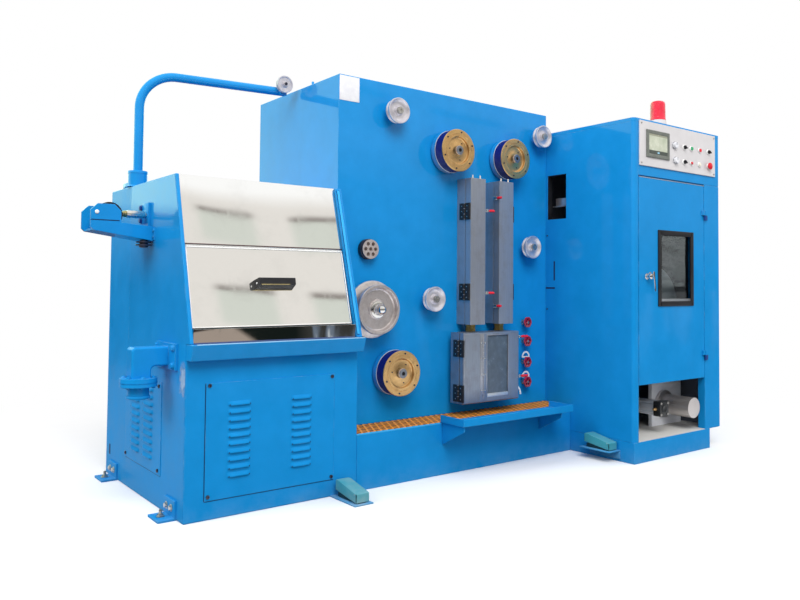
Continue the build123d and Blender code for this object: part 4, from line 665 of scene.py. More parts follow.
def mirror_sheet(name, colour, rough):
    """Polished stainless with faint wipe marks, finger smudges and a slightly uneven surface."""
    material, tree, shader, place = finish_named(name, Metallic=1.0)
    smudge = noise(tree, place, 7.0, 6.0, 0.62)
    wipe = noise(tree, stretch(tree, place, (30.0, 4.0, 4.0), (0.0, 0.4, 0.0)), 1.0, 5.0, 0.7)
    wave = noise(tree, place, 2.6, 1.0)
    colour_now = tint(tree, ramp(tree, smudge, 0.5, 0.8, 0.0, 0.5), colour, shaded(colour, 0.86))
    rough_now = maths(tree, "ADD", ramp(tree, smudge, 0.45, 0.8, rough, rough + 0.05),
                      ramp(tree, wipe, 0.55, 0.8, 0.0, 0.05))
    wear = use(tree, worn_edges, Radius=0.002)
    connect(tree, shader, wave, 0.25, 0.004, wear["Normal"], Base_Color=colour_now, Roughness=rough_now)
    return material


mirror_stainless = mirror_sheet("mirror stainless", linear(236, 236, 234), 0.045)
dress(mirror_stainless, "fixed_cover_sheets", "lower_cover")
soften(0.0012, "fixed_cover_sheets", "lower_cover")

cover_low, cover_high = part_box("lower_cover")
handle_low, handle_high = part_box("cover_handle")
SLOPE = math.atan2(SLOPE_RUN, SLOPE_RISE)
slope_up = Vector((0, math.sin(SLOPE), math.cos(SLOPE)))
slope_out = Vector((0, -math.cos(SLOPE), math.sin(SLOPE)))
slope_axes = Matrix((Vector((1, 0, 0)), slope_up, slope_out)).transposed().to_4x4()
cover_foot = Vector((0, hood_low.y, hood_low.z)) - slope_out * 0.018
cover_plane = Matrix.Translation(cover_foot) @ slope_axes
handle_middle = cover_foot + slope_up * 0.238
handle_middle.x = (handle_low.x + handle_high.x) / 2
handle_plane = Matrix.Translation(handle_middle) @ slope_axes
handle_profile = [(-0.018, 0.0), (-0.018, 0.003), (-0.0075, 0.044), (-0.0055, 0.0475), (0.02, 0.0495),
                  (0.0227, 0.047), (0.0227, 0.0)]
GRIP_LENGTH = handle_high.x - handle_low.x - 0.008
GRIP_END = GRIP_LENGTH / 2
END_LEAN = 0.003 / 0.05
pull = bmesh.new()
rows = []
for end, lean in ((-1, 0.0), (-1, 1.0), (1, 1.0), (1, 0.0)):
    rows.append([pull.verts.new((end * (GRIP_END - END_LEAN * lean * out), up, out * lean))
                 for up, out in handle_profile])
bridge(pull, rows, closed=False)
bmesh.ops.remove_doubles(pull, verts=pull.verts, dist=0.0001)
pull_handle = piece("moulded_pull_handle", pull, black_nylon, "cover_leaf", 24, handle_plane)
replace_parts(pull_handle, "cover_handle")
pull_line = bmesh.new()
block(pull_line, (-GRIP_END + 0.01, -0.0078, 0.045), (GRIP_END - 0.03, -0.0046, 0.0486), 0.0008)
block(pull_line, (-GRIP_END, -0.0194, 0.0004), (GRIP_END, -0.018, 0.003), 0.0004)
piece("pull_handle_strip", pull_line, gilt, "cover_leaf", place=handle_plane)
turned("pull_handle_cap", white_cap_and_highlight, [(0.0045, 0.0), (0.0045, 0.0012), (0.003, 0.002), (0.0, 0.002)],
       (-GRIP_END + 0.001, 0.004, 0.026), LEFTWARD, 20, "cover_leaf", place=handle_plane)

LEAF_GAP = 0.005
SEAM_UP = 0.404
LEAF_LEFT = cover_low.x
LEAF_RIGHT = cover_high.x
SHEET_LEFT = LEAF_LEFT - LEAF_GAP
SHEET_RIGHT = LEAF_RIGHT + LEAF_GAP
LIP_INSET = 0.001
LIP_WIDTH = 0.0042
STRIP_GAP = 0.0006
seam_shadow_paint = moulded("brown painted shadow in seam", linear(74, 48, 52), 0.5)
# A brown strip of painted shadow in the gap along the leaf's hinge seam.
plate("cover_seam_line", seam_shadow_paint, (SHEET_LEFT, SEAM_UP + 0.0062, -0.004),
      (SHEET_RIGHT, SEAM_UP + 0.0098, 0.0012), 0.0004, turn=cover_plane)
# Rounded lips along the leaf's foot, hinge seam and sides, white as painted highlight lines.
lips = bmesh.new()
block(lips, (LEAF_LEFT + LIP_INSET, 0.0662, -0.002), (LEAF_RIGHT - LIP_INSET, 0.0716, 0.0034), 0.0026,
      cover_plane, 3)
block(lips, (LEAF_LEFT + LIP_INSET, SEAM_UP - 0.008, -0.001),
      (LEAF_RIGHT - LIP_INSET, SEAM_UP - 0.0018, 0.0038), 0.0024, cover_plane, 3)
for edge_x in (LEAF_LEFT, LEAF_RIGHT - LIP_WIDTH):
    block(lips, (edge_x, 0.072, -0.002), (edge_x + LIP_WIDTH, SEAM_UP - 0.008, 0.002), 0.0018,
          cover_plane, 3)
piece("cover_leaf_highlight_lips", lips, white_cap_and_highlight, "cover_leaf")
side_strips = bmesh.new()
for strip_x in (SHEET_LEFT, LEAF_RIGHT + STRIP_GAP):
    block(side_strips, (strip_x, 0.066, -0.01), (strip_x + LEAF_GAP - STRIP_GAP, 0.4, -0.0008), 0.0006,
          cover_plane)
piece("cover_side_strips", side_strips, mirror_stainless)

# Edges of the right end plate: a painted liner in the reveal beside the mirror, and a rolled bead
# along the sloped edge, painted a paler blue as its highlight.
SLOPE_LENGTH = math.hypot(SLOPE_RUN, SLOPE_RISE)
plate("reveal_liner", dull_blue, (SHEET_RIGHT - 0.0014, 0.01, 0.0005),
      (SHEET_RIGHT + 0.0004, SLOPE_LENGTH - 0.012, 0.0165), 0.0004, turn=cover_plane)
# A paler blue that paints the highlight along rolled and folded edges.
edge_highlight_enamel = enamel("blue edge with painted highlight", linear(58, 172, 232), RUBBED_BLUE, 0.4, 0.1, 0.2)
plate("rolled_edge_bead", edge_highlight_enamel, (SHEET_RIGHT + 0.002, 0.012, 0.017),
      (SHEET_RIGHT + 0.018, SLOPE_LENGTH - 0.01, 0.0215), 0.0042, turn=cover_plane,
      segments=4)

# Splash strip below the leaf: a narrow upright sheet, polished bright, standing on a navy strip of
# painted shade on the sill, behind the sill's front edge, which is painted pale as its highlight.
SILL_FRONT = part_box("sill")[0].y
SILL_TOP = hood_low.z
SPLASH_FACE = hood_low.y + 0.0105
SPLASH_TOP = 0.7405
bright_splash = mirror_sheet("polished splash strip", linear(232, 232, 230), 0.02)
plate("splash_strip", bright_splash, (SHEET_LEFT, SPLASH_FACE, SILL_TOP + 0.002),
      (SHEET_RIGHT, SPLASH_FACE + 0.018, SPLASH_TOP))
# A navy strip of painted shade on the sill at the splash strip's foot.
plate("sill_shade_strip", navy, (SHEET_LEFT, SILL_FRONT + 0.007, SILL_TOP),
      (SHEET_RIGHT, SPLASH_FACE, SILL_TOP + 0.0022), 0.0008)
# The sill's front edge, painted pale as a highlight.
sill_highlight_paint = enamel("sill edge with painted highlight", linear(168, 220, 246), RUBBED_BLUE, 0.3, 0.0)
plate("sill_front_highlight", sill_highlight_paint, (SHEET_LEFT, SILL_FRONT + 0.001, SILL_TOP - 0.0022),
      (LEAF_RIGHT + 0.028, SILL_FRONT + 0.007, SILL_TOP + 0.0012), 0.001)

# Stepped drawing cones behind the cover: hardened steel on the chamber's back wall, bright
# where the wire runs.
cone_steel = steel("hardened cone steel", linear(182, 184, 188), 0.18, (500.0, 40.0, 500.0), 0.2)
dress(cone_steel, "drawing_cones")

# Guide arm: a bent painted pipe in a bolted roof socket, whose end lug carries a small turned
# pulley for the wire that comes over the drawing unit.


def turned_rings_effect():
    """Fine rings about a piece's own Y axis, as a lathe tool leaves them."""
    tree, entry, leaving = effect("lathe rings", [("Pitch", "NodeSocketFloat", 900.0)],
                                  [("Rings", "NodeSocketFloat"), ("Blot", "NodeSocketFloat")])
    place = add(tree, "ShaderNodeTexCoord").outputs["Object"]
    parts = axes_of(tree, place)
    radius = maths(tree, "SQRT", maths(tree, "ADD", maths(tree, "MULTIPLY", parts["X"], parts["X"]),
                                       maths(tree, "MULTIPLY", parts["Z"], parts["Z"])))
    depth = maths(tree, "MULTIPLY", parts["Y"], 0.6)
    spread = add(tree, "ShaderNodeCombineXYZ", {"X": radius, "Y": depth}).outputs[0]
    tree.links.new(noise(tree, spread, entry["Pitch"], 3.0, 0.6), leaving["Rings"])
    tree.links.new(noise(tree, place, 28.0, 6.0, 0.65), leaving["Blot"])
    return tree


lathe_rings = turned_rings_effect()


def turned_metal(name, colour, dark, rough=0.24, stain=0.35, metallic=1.0):
    """Metal off the lathe: ring grain, blots of oil and tarnish, softened edges."""
    material, tree, shader, _ = finish_named(name, Metallic=metallic)
    marks = use(tree, lathe_rings)
    wear = use(tree, worn_edges, Radius=0.0012)
    mask = maths(tree, "MULTIPLY", ramp(tree, marks["Blot"], 0.42, 0.75), stain)
    colour_now = tint(tree, mask, colour, dark)
    colour_now = tint(tree, ramp(tree, marks["Rings"], 0.3, 0.7, 0.0, 0.12), colour_now, dark)
    rough_now = maths(tree, "ADD", ramp(tree, marks["Rings"], 0.3, 0.7, rough - 0.05, rough + 0.08),
                      maths(tree, "MULTIPLY", mask, 0.35))
    connect(tree, shader, marks["Rings"], 0.03, 0.0004, wear["Normal"], Base_Color=colour_now,
            Roughness=rough_now)
    return material


dress(machine_blue, "guide_arm")
MAST_X = LEFT_FACE + 0.034
MAST_Y = 0.2325
socket_parts = bmesh.new()
block(socket_parts, (MAST_X - 0.03, MAST_Y + 0.03, HOOD_TOP),
      (MAST_X + 0.045, MAST_Y + 0.122, HOOD_TOP + 0.025), 0.004)
for ring_outline, ring_rise, ring_steps in (
        ([(0.0435, 0.0), (0.0435, 0.01), (0.0425, 0.012)], 0.062, 48),
        ([(0.048, 0.0), (0.046, 0.004), (0.0425, 0.007)], 0.0, 48),
        ([(0.027, 0.0), (0.025, 0.003), (0.0212, 0.006)], 0.072, 40)):
    spin(socket_parts, ring_outline, (MAST_X, MAST_Y, HOOD_TOP + ring_rise), UPWARD, ring_steps)
bolt(socket_parts, (MAST_X + 0.008, MAST_Y + 0.08, HOOD_TOP + 0.025), UPWARD, 0.01)
piece("mast_socket_details", socket_parts, machine_blue)

bright_turned = turned_metal("turned bright steel", linear(228, 225, 232), linear(146, 140, 144),
                             0.36, 0.35, 0.75)
middle, half, radius = hub_of("arm_pulley")
wheel_outline = [(0.0085, -half), (radius, -half), (radius, -half + 0.003), (radius - 0.009, -0.002),
                 (radius - 0.009, 0.002), (radius, half - 0.003), (radius, half), (radius - 0.005, half),
                 (radius - 0.008, half - 0.004), (0.018, half - 0.005), (0.015, half), (0.0085, half)]
wheel = turned("guide_arm_pulley", bright_turned, wheel_outline, steps=56, body="arm_wheel",
               angle=30, place=Matrix.Translation(middle))
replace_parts(wheel, "arm_pulley")
arm_screw = bmesh.new()
socket_screw(arm_screw, middle + Vector((0, -half - 0.0075, 0)), FRONTWARD, 0.0075)
piece("guide_arm_screw", arm_screw, dark_screw)

# Floor grating of the annealer: orange painted expanded mesh laid on the base over a dark brown
# sheet of painted shade, behind the thin folded lip of the base, painted pale as its highlight.
grate_low, grate_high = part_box("floor_grating")
orange_enamel = enamel("orange mesh enamel", linear(250, 158, 48), linear(150, 96, 50), 0.5, 0.6, 0.1)
mesh_shade_sheet = moulded("dark brown painted shade under mesh", linear(62, 36, 22), 0.6)
MESH_ROWS = 5
MESH_STEP = 0.017
MESH_FRONT = 0.006
STRAND = 0.0092
STRAND_THICKNESS = 0.001
strands = bmesh.new()
row_depth = (grate_high.y - grate_low.y - MESH_FRONT) / MESH_ROWS
for row in range(MESH_ROWS):
    near_y = grate_low.y + MESH_FRONT + row * row_depth
    for column in range(int((grate_high.x - grate_low.x) / MESH_STEP)):
        left_x = grate_low.x + column * MESH_STEP
        ends_y = [near_y, near_y + row_depth]
        if (row + column) % 2:
            ends_y.reverse()
        start = Vector((left_x, ends_y[0], 0))
        end = Vector((left_x + MESH_STEP, ends_y[1], 0))
        side = Vector((0, 0, 1)).cross(end - start).normalized() * (STRAND / 2)
        corners = []
        for point, lift in ((start - side, 0.0012), (end - side, 0.0012),
                            (end + side, 0.0018), (start + side, 0.0018)):
            point.x = min(max(point.x, grate_low.x), grate_high.x)
            point.y = min(max(point.y, grate_low.y + 0.004), grate_high.y)
            corners.append(strands.verts.new((point.x, point.y, grate_low.z + lift)))
        under = [strands.verts.new(corner.co - Vector((0, 0, STRAND_THICKNESS))) for corner in corners]
        strands.faces.new(corners)
        bridge(strands, [corners, under])
floor_mesh_piece = piece("expanded_floor_mesh", strands, orange_enamel, angle=30)
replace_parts(floor_mesh_piece, "floor_grating")
# A dark brown sheet under the mesh paints the shade beneath it.
plate("mesh_shade_sheet", mesh_shade_sheet, (grate_low.x + 0.001, grate_low.y + 0.004, grate_low.z - 0.001),
      (grate_high.x - 0.001, grate_high.y, grate_low.z + 0.0004))
# The base's folded lip, in the paler blue of a painted highlight.
plate("base_lip", edge_highlight_enamel, (grate_low.x, grate_low.y - 0.0004, grate_low.z - 0.0055),
      (grate_high.x, grate_low.y + 0.0045, grate_low.z + 0.0022), 0.0012)

# Blank plate and roof pin of the annealer: a bare sheet for markings, riveted at the top left
# corner of the plate, and a short painted lifting pin on the roof.
annealer_low, annealer_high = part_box("annealer_housing")
PLATE_Y = annealer_low.y
BLANK_FACE = PLATE_Y - 0.0016
blank = bmesh.new()
block(blank, (DRAW_RIGHT + 0.003, BLANK_FACE, 1.786), (DRAW_RIGHT + 0.113, PLATE_Y + 0.001, 1.904), 0.0005)
for rivet_z in (1.793, 1.897):
    for rivet_x in (0.01, 0.106):
        spin(blank, [(0.0028, 0), (0.0024, 0.001), (0, 0.0014)], (DRAW_RIGHT + rivet_x, BLANK_FACE, rivet_z),
             steps=12)
plate_enamel = moulded("pale plate enamel", linear(226, 226, 231), 0.4)
piece("blank_plate", blank, plate_enamel)
turned("roof_pin", machine_blue,
       [(0.011, 0.0), (0.011, 0.004), (0.0065, 0.006), (0.0065, 0.02), (0.005, 0.022), (0, 0.022)],
       (DRAW_RIGHT + 0.022, -0.035, annealer_high.z), UPWARD, 20)

# Guide pulleys of the annealer: dished steel wheels with one grooved rim, that turn on bolts in
# painted bosses. Bright from the lathe, a little tarnished in the dish.
dress(bright_turned, "wheel_axles")
bosses = bmesh.new()
boss_screws = bmesh.new()
for number in range(1, 5):
    middle, half, radius = hub_of(f"guide_pulley_{number}")
    dish = [(0.0105, -half), (radius * 0.8, -half), (radius * 0.92, -half + 0.002),
            (radius * 0.92, -half + 0.006), (radius * 0.8, -half + 0.012), (radius * 0.8, half - 0.017),
            (radius, half - 0.01), (radius, half - 0.0015), (radius - 0.0015, half), (radius * 0.935, half),
            (radius * 0.905, half - 0.0015), (radius * 0.8, half - 0.0095), (radius * 0.7, half - 0.013),
            (radius * 0.56, half - 0.0145), (radius * 0.42, half - 0.014), (radius * 0.37, half - 0.0115),
            (radius * 0.35, half - 0.004), (radius * 0.31, half - 0.002), (0.0105, half - 0.002)]
    wheel = turned(f"dished_guide_pulley_{number}", bright_turned, dish, steps=72, body=f"guide_{number}",
                   angle=24, place=Matrix.Translation(middle))
    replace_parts(wheel, f"guide_pulley_{number}")
    head_at = (middle.x, middle.y - half - 0.0074, middle.z)
    spin(bosses, [(0.031, 0.0), (0.029, 0.003), (0.026, 0.005), (0.026, 0.026), (0.024, 0.028),
                  (0.0105, 0.028)], (middle.x, PLATE_Y, middle.z), steps=40)
    spin(boss_screws, [(0.0178, -0.0088), (0.0178, 0.0005), (0.016, 0.003), (0.0068, 0.003)], head_at,
         steps=32)
    spin(boss_screws, [(0.0068, 0.003), (0.0068, 0.0002), (0, 0.0002)], head_at, steps=6)
piece("guide_pulley_bosses", bosses, machine_blue)
piece("guide_pulley_screws", boss_screws, zinc_bolt)

# Contact wheels: a brass disc held by six screws to a cobalt blue rim, with a thin steel flange
# and a painted back plate behind. The grey hub ring keeps each on its shaft.
brass = turned_metal("turned brass", linear(230, 188, 128), linear(150, 110, 66), 0.28, 0.4, 0.95)
cobalt = enamel("cobalt blue rim", linear(12, 28, 110), linear(48, 66, 140), 0.45, 0.1, 0.08)
BORE = 0.0125
hub_rings = bmesh.new()
bore_shade_discs = bmesh.new()
for number in range(1, 4):
    middle, half, radius = hub_of(f"contact_wheel_{number}")
    body = f"contact_{number}"
    wheel_place = Matrix.Translation(middle)
    disc = [(radius * 0.9, half - 0.0062), (radius * 0.985, half - 0.006), (radius, half - 0.005),
            (radius, half - 0.0025), (radius - 0.0025, half), (radius * 0.79, half),
            (radius * 0.775, half - 0.0016), (radius * 0.765, half), (radius * 0.665, half),
            (radius * 0.645, half - 0.0015), (radius * 0.62, half - 0.011), (radius * 0.585, half - 0.014),
            (radius * 0.34, half - 0.015), (radius * 0.3, half - 0.0135), (radius * 0.22, half - 0.0135),
            (BORE, half - 0.0135)]
    rim = [(radius * 0.67, half - 0.0063), (radius * 0.978, half - 0.0063), (radius * 0.985, half - 0.009),
           (radius * 0.985, half - 0.06), (radius * 0.67, half - 0.06)]
    flange = [(BORE, half - 0.0601), (radius * 0.985, half - 0.0601), (radius, half - 0.0612),
              (radius, half - 0.0638), (radius * 0.985, half - 0.065), (BORE, half - 0.065)]
    back = [(BORE, -half), (radius * 0.98, -half), (radius, -half + 0.002), (radius, half - 0.0705),
            (radius * 0.985, half - 0.0692), (radius * 0.94, half - 0.0692), (radius * 0.94, half - 0.0652),
            (BORE, half - 0.0652)]
    disc_piece = turned(f"brass_contact_disc_{number}", brass, disc, steps=96, body=body,
                        angle=24, place=wheel_place)
    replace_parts(disc_piece, f"contact_wheel_{number}")
    for part, material, outline, slot in (("rim", cobalt, rim, "contact_brass"),
                                          ("flange", bright_turned, flange, "wheel_steel"),
                                          ("back_plate", machine_blue, back, "machine_blue")):
        turned(f"contact_{part}_{number}", material, outline, steps=96, body=body, angle=30,
               place=wheel_place)
    heads = bmesh.new()
    for angles, reach, depth, size in ((turns(6, 0.35), radius * 0.875, -half, 0.0044),
                                       (turns(3, 0.9), radius * 0.46, -half + 0.0146, 0.0034)):
        for turn in angles:
            socket_screw(heads, (reach * math.cos(turn), depth, reach * math.sin(turn)), FRONTWARD, size)
    piece(f"contact_screws_{number}", heads, dark_screw, body, place=wheel_place)
    front = (middle.x, middle.y - half, middle.z)
    spin(hub_rings, [(0.0225, -0.012), (0.0225, 0.0095), (0.0205, 0.0115), (0.01, 0.0115),
                     (0.0092, 0.008)], front)
    spin(bore_shade_discs, [(0.0092, 0.008), (0, 0.008)], front, steps=24)
hub_steel = steel("grey hub steel", linear(150, 154, 162), 0.36)
piece("contact_hub_rings", hub_rings, hub_steel)
# A dark disc deep in each hub's bore, as painted shade.
piece("contact_hub_shaded_bores", bore_shade_discs, moulded("painted shade in hub bore", linear(16, 16, 20), 0.7))

# Capstan: a steel wheel of two flanges with a dished front, a little tarnished, held by a chromed
# domed nut on a washer.
middle, half, radius = hub_of("capstan")
face = radius - 0.019
reel = [(0.0165, -half), (radius - 0.002, -half), (radius, -half + 0.002), (radius, -half + 0.013),
        (radius * 0.96, -half + 0.016), (face * 0.82, -half + 0.024), (face * 0.82, half - 0.03),
        (face * 0.94, half - 0.022), (face, half - 0.019), (face, half - 0.003), (face - 0.0025, half),
        (face * 0.9, half), (face * 0.88, half - 0.0025), (face * 0.84, half - 0.019),
        (face * 0.79, half - 0.0225), (face * 0.42, half - 0.023), (face * 0.4, half - 0.018),
        (face * 0.37, half - 0.016), (0.0165, half - 0.016)]
aged_turned = turned_metal("aged turned steel", linear(218, 210, 208), linear(142, 130, 124), 0.3, 0.5, 0.8)
capstan_wheel = turned("flanged_capstan", aged_turned, reel, steps=112, body="capstan_wheel",
                       angle=24, place=Matrix.Translation(middle))
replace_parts(capstan_wheel, "capstan")
domed_nut = bmesh.new()
DOME = 0.0232
nut_at = middle - Vector((0, half + 0.0074, 0))
dome_turns = [step * math.pi / 16 for step in range(8)]
dome = [(DOME * math.cos(turn), 0.006 + DOME * math.sin(turn)) for turn in dome_turns]
spin(domed_nut, [(0.04, -0.0238), (0.04, -0.0195), (0.038, -0.018), (0.0205, -0.018)], nut_at)
spin(domed_nut, [(0.0275, -0.018), (0.0275, 0.001), (0.024, 0.005), (0.019, 0.005)], nut_at, steps=6)
spin(domed_nut, [(0.0235, 0.004)] + dome + [(0, 0.0292)], nut_at, steps=32)
piece("capstan_domed_nut", domed_nut, chrome)

# Wire outlet: a drilled steel bush in the plate, bright on its face, in a browned sleeve that is
# dark on its turned side.
outlet_steel = turned_metal("outlet bush steel", linear(212, 200, 196), linear(140, 122, 116), 0.35, 0.5, 0.6)
dress(outlet_steel, "wire_outlet_hub")
soften(0.0012, "wire_outlet_hub")
outlet_low, outlet_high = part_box("wire_outlet_hub")
OUTLET_SKIN = (outlet_high.x - outlet_low.x) / 2 + 0.0005
OUTLET_COLLAR = OUTLET_SKIN + 0.0025
outlet_at = (outlet_low + outlet_high) / 2
outlet_at.y = outlet_high.y
browned_steel = steel("browned steel", linear(92, 78, 80), 0.45)
turned("outlet_bush_sleeve", browned_steel,
       [(OUTLET_SKIN, 0.0), (OUTLET_SKIN, 0.006), (OUTLET_COLLAR, 0.006), (OUTLET_COLLAR, 0.028),
        (OUTLET_SKIN, 0.03), (OUTLET_SKIN - 0.0002, 0.0406)], outlet_at, steps=56)

# Annealing tubes: long boxes of brushed stainless with hinged lids, black moulded hinges, toggle
# clamps with red grips, two pins in each top and brass unions underneath.


def brushed_sheet(name, colour, rough, run):
    """Brushed stainless: fine lines along one direction, water marks and dull spots."""
    material, tree, shader, place = finish_named(name, Metallic=0.72)
    lines = noise(tree, stretch(tree, place, run), 1.0, 4.0, 0.65)
    blot = noise(tree, place, 9.0, 7.0, 0.66)
    specks = ramp(tree, noise(tree, place, 130.0, 3.0, 0.6), 0.62, 0.78)
    dark = shaded(colour, 0.66)
    colour_now = tint(tree, ramp(tree, lines, 0.3, 0.7, 0.0, 0.5), colour, dark)
    colour_now = tint(tree, ramp(tree, blot, 0.5, 0.78, 0.0, 0.42), colour_now, linear(128, 112, 98))
    colour_now = tint(tree, maths(tree, "MULTIPLY", specks, 0.22), colour_now, dark)
    rough_now = maths(tree, "ADD", ramp(tree, lines, 0.3, 0.7, rough - 0.06, rough + 0.08),
                      ramp(tree, blot, 0.5, 0.8, 0.0, 0.12))
    wear = use(tree, worn_edges, Radius=0.002)
    connect(tree, shader, lines, 0.16, 0.0004, wear["Normal"], Base_Color=colour_now, Roughness=rough_now)
    return material


tube_stainless = brushed_sheet("brushed stainless tube", linear(178, 181, 189), 0.36, (380.0, 380.0, 10.0))
dress(tube_stainless, "annealing_tubes", "left_tube_lid", "right_tube_lid")
soften(0.0022, "left_tube_lid", "right_tube_lid")

HINGE_NEAR = 0.0012
HINGE_FAR = 0.0395
HINGE_HALF = 0.042
HINGE_LEAF = 0.0088
KNUCKLE_OUT = 0.007
KNUCKLE = HINGE_HALF * 2 / 3


def hinge_cover(lid_parts, fixed_parts, side_x, outward, split_y, middle_z):
    """Black leaves over one hinge, with its screws and its three knuckles."""
    leaf_half = HINGE_HALF + 0.001
    face_x = side_x + outward * HINGE_LEAF
    low_x, high_x = sorted((side_x - outward * 0.0002, face_x))
    for (leaves, dots), way in ((lid_parts, -1), (fixed_parts, 1)):
        low_y, high_y = sorted((split_y + way * HINGE_NEAR, split_y + way * HINGE_FAR))
        block(leaves, (low_x, low_y, middle_z - leaf_half), (high_x, high_y, middle_z + leaf_half), 0.0012)
        for row in (-0.028, 0.0, 0.028):
            spin(dots, [(0.0034, 0), (0.0034, 0.0007), (0.0022, 0.0012), (0, 0.0012)],
                 (face_x, (low_y + high_y) / 2, middle_z + row), (outward, 0, 0), 12)
    for index, (leaves, _) in enumerate((fixed_parts, lid_parts, fixed_parts)):
        start = (side_x + outward * KNUCKLE_OUT, split_y, middle_z - HINGE_HALF + index * KNUCKLE)
        spin(leaves, [(0.0, 0.0012), (0.0068, 0.0012), (0.0074, 0.002), (0.0074, KNUCKLE - 0.002),
                      (0.0068, KNUCKLE - 0.0012), (0.0, KNUCKLE - 0.0012)], start, UPWARD, 20)


def clamps(body, at_x, at_y, heights, along, tip, lift=FRONTWARD):
    """Toggle clamps on one lid: base, links, pin and bent arm, with a red dipped grip on each arm."""
    metal = bmesh.new()
    grips = bmesh.new()
    lift = Vector(lift)
    along = Vector(along).normalized()
    across = along.cross(lift)
    for height in heights:
        at = Vector((at_x, at_y, height))
        base = Matrix.Translation(at) @ Matrix((along, lift, across)).transposed().to_4x4()
        block(metal, (-0.004, -0.01, -0.01), (0.004, 0.012, 0.01), 0.001, base)
        for link in (-0.0065, 0.0035):
            block(metal, (0.002, 0.004, link), (0.022, 0.014, link + 0.003), 0.0008, base)
        spin(metal, [(0, -0.009), (0.0032, -0.009), (0.0032, 0.009), (0, 0.009)],
             at + along * 0.016 + lift * 0.009, across, 12)
        block(metal, (0.01, 0.006, -0.003), (0.03, 0.012, 0.003), 0.001, base)
        spin(grips, [(0, 0.024), (0.005, 0.0245), (0.0064, 0.028), (0.0072, 0.04), (0.0064, tip - 0.003),
                     (0.0035, tip), (0, tip)], at + lift * 0.009, along, 16)
    piece(f"{body}_clamps", metal, chrome, body)
    piece(f"{body}_clamp_grips", grips, grip_red, body)


grip_red = moulded("red dipped grip", linear(214, 24, 48), 0.35)
black_hinge = moulded("black hinge moulding", linear(24, 24, 26), 0.5)
SPLIT_Y = -0.3905
BOX_SPLIT_Y = -0.4265
TUBE_HINGES = (0.88, 1.299)
BOX_HINGES = (0.366, 0.593)
fixed_hinges = (bmesh.new(), bmesh.new())
for body, side_x, outward, split_y, heights in (("left_lid", 0.4155, -1, SPLIT_Y, TUBE_HINGES),
                                                ("right_lid", 0.7205, 1, SPLIT_Y, TUBE_HINGES),
                                                ("box_lid", 0.3495, -1, BOX_SPLIT_Y, BOX_HINGES)):
    lid_hinges = (bmesh.new(), bmesh.new())
    for middle_z in heights:
        hinge_cover(lid_hinges, fixed_hinges, side_x, outward, split_y, middle_z)
    piece(f"{body}_hinges", lid_hinges[0], black_hinge, body)
    piece(f"{body}_hinge_screws", lid_hinges[1], zinc_bolt, body)
piece("fixed_hinge_leaves", fixed_hinges[0], black_hinge)
piece("fixed_hinge_screws", fixed_hinges[1], zinc_bolt)

LEFT_TUBE_RIGHT = 0.5185
RIGHT_TUBE_LEFT = 0.6175
CLAMP_Y = -0.412
clamps("left_lid", LEFT_TUBE_RIGHT + 0.003, CLAMP_Y, (1.308, 0.875), (1, -0.25, 0), 0.06)
clamps("right_lid", RIGHT_TUBE_LEFT + 0.0015, CLAMP_Y + 0.012, (1.381, 0.806), FRONTWARD, 0.058, LEFTWARD)

cream_pin = enamel("cream pin enamel", linear(226, 220, 204), linear(170, 160, 140), 0.4, 0.1)
lid_rest = steel("lid seal steel", linear(176, 178, 184), 0.4, (60.0, 60.0, 400.0), 0.2)
aged_brass = turned_metal("aged brass fitting", linear(190, 158, 92), linear(104, 84, 50), 0.34, 0.6)
UNION_Y = -0.374
SEAL_HALF = 0.0505
union_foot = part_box("annealing_tubes")[0].z + 0.002
tube_fittings = bmesh.new()
for body, node, tube_x in (("left_lid", "left_tube_lid", 0.467), ("right_lid", "right_tube_lid", 0.669)):
    low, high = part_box(node)
    pins = bmesh.new()
    for shift in (-0.026, 0.026):
        spin(pins, [(0.005, 0.0), (0.005, 0.004), (0.0036, 0.005), (0.0036, 0.016), (0.0026, 0.018),
                    (0, 0.018)], (tube_x + shift, low.y + 0.016, high.z), UPWARD, 16)
    piece(f"{body}_pins", pins, cream_pin, body)
    plate(f"{body}_seal", lid_rest, (tube_x - SEAL_HALF, SPLIT_Y - 0.003, low.z + 0.001),
          (tube_x + SEAL_HALF, SPLIT_Y + 0.0015, high.z - 0.001), 0.0006, body)
    spin(tube_fittings, [(0.0, 0.0), (0.0285, 0.0), (0.0285, 0.012), (0.026, 0.013), (0.026, 0.024),
                         (0.0285, 0.025), (0.0285, 0.036), (0.0, 0.036)],
         (tube_x, UNION_Y, union_foot), UPWARD, 6)
piece("tube_fittings", tube_fittings, aged_brass)

# Lower box of the annealer: a rounded stainless box whose lid holds a grey window behind a piano
# hinge, closed by two toggle clamps and a bent bright latch on its right side.
box_stainless = brushed_sheet("brushed stainless box", linear(162, 170, 182), 0.36, (300.0, 300.0, 12.0))
dress(box_stainless, "lower_box", "lower_box_lid")
soften(0.006, "lower_box_lid")
lid_low, lid_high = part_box("lower_box_lid")
LID_FACE = lid_low.y
WINDOW_LEFT = 0.5055
WINDOW_RIGHT = 0.6575
WINDOW_FOOT = 0.338
WINDOW_TOP = 0.656
HINGE_LINE_X = 0.4805
KNUCKLE_PITCH = 0.0198
SCREW_PITCH = 0.082
pane_grey = moulded("grey window pane", linear(76, 90, 104), 0.2)
plate("box_window_pane", pane_grey, (WINDOW_LEFT + 0.001, LID_FACE + 0.0065, WINDOW_FOOT + 0.001),
      (WINDOW_RIGHT - 0.001, LID_FACE + 0.0088, WINDOW_TOP - 0.001), 0.0, "box_lid")
ledge = bmesh.new()
FRAME_LEFT = WINDOW_LEFT - 0.005
FRAME_RIGHT = WINDOW_RIGHT + 0.003
FRAME_FOOT = WINDOW_FOOT - 0.006
FRAME_TOP = WINDOW_TOP + 0.004
FRAME_BACK = LID_FACE + 0.004
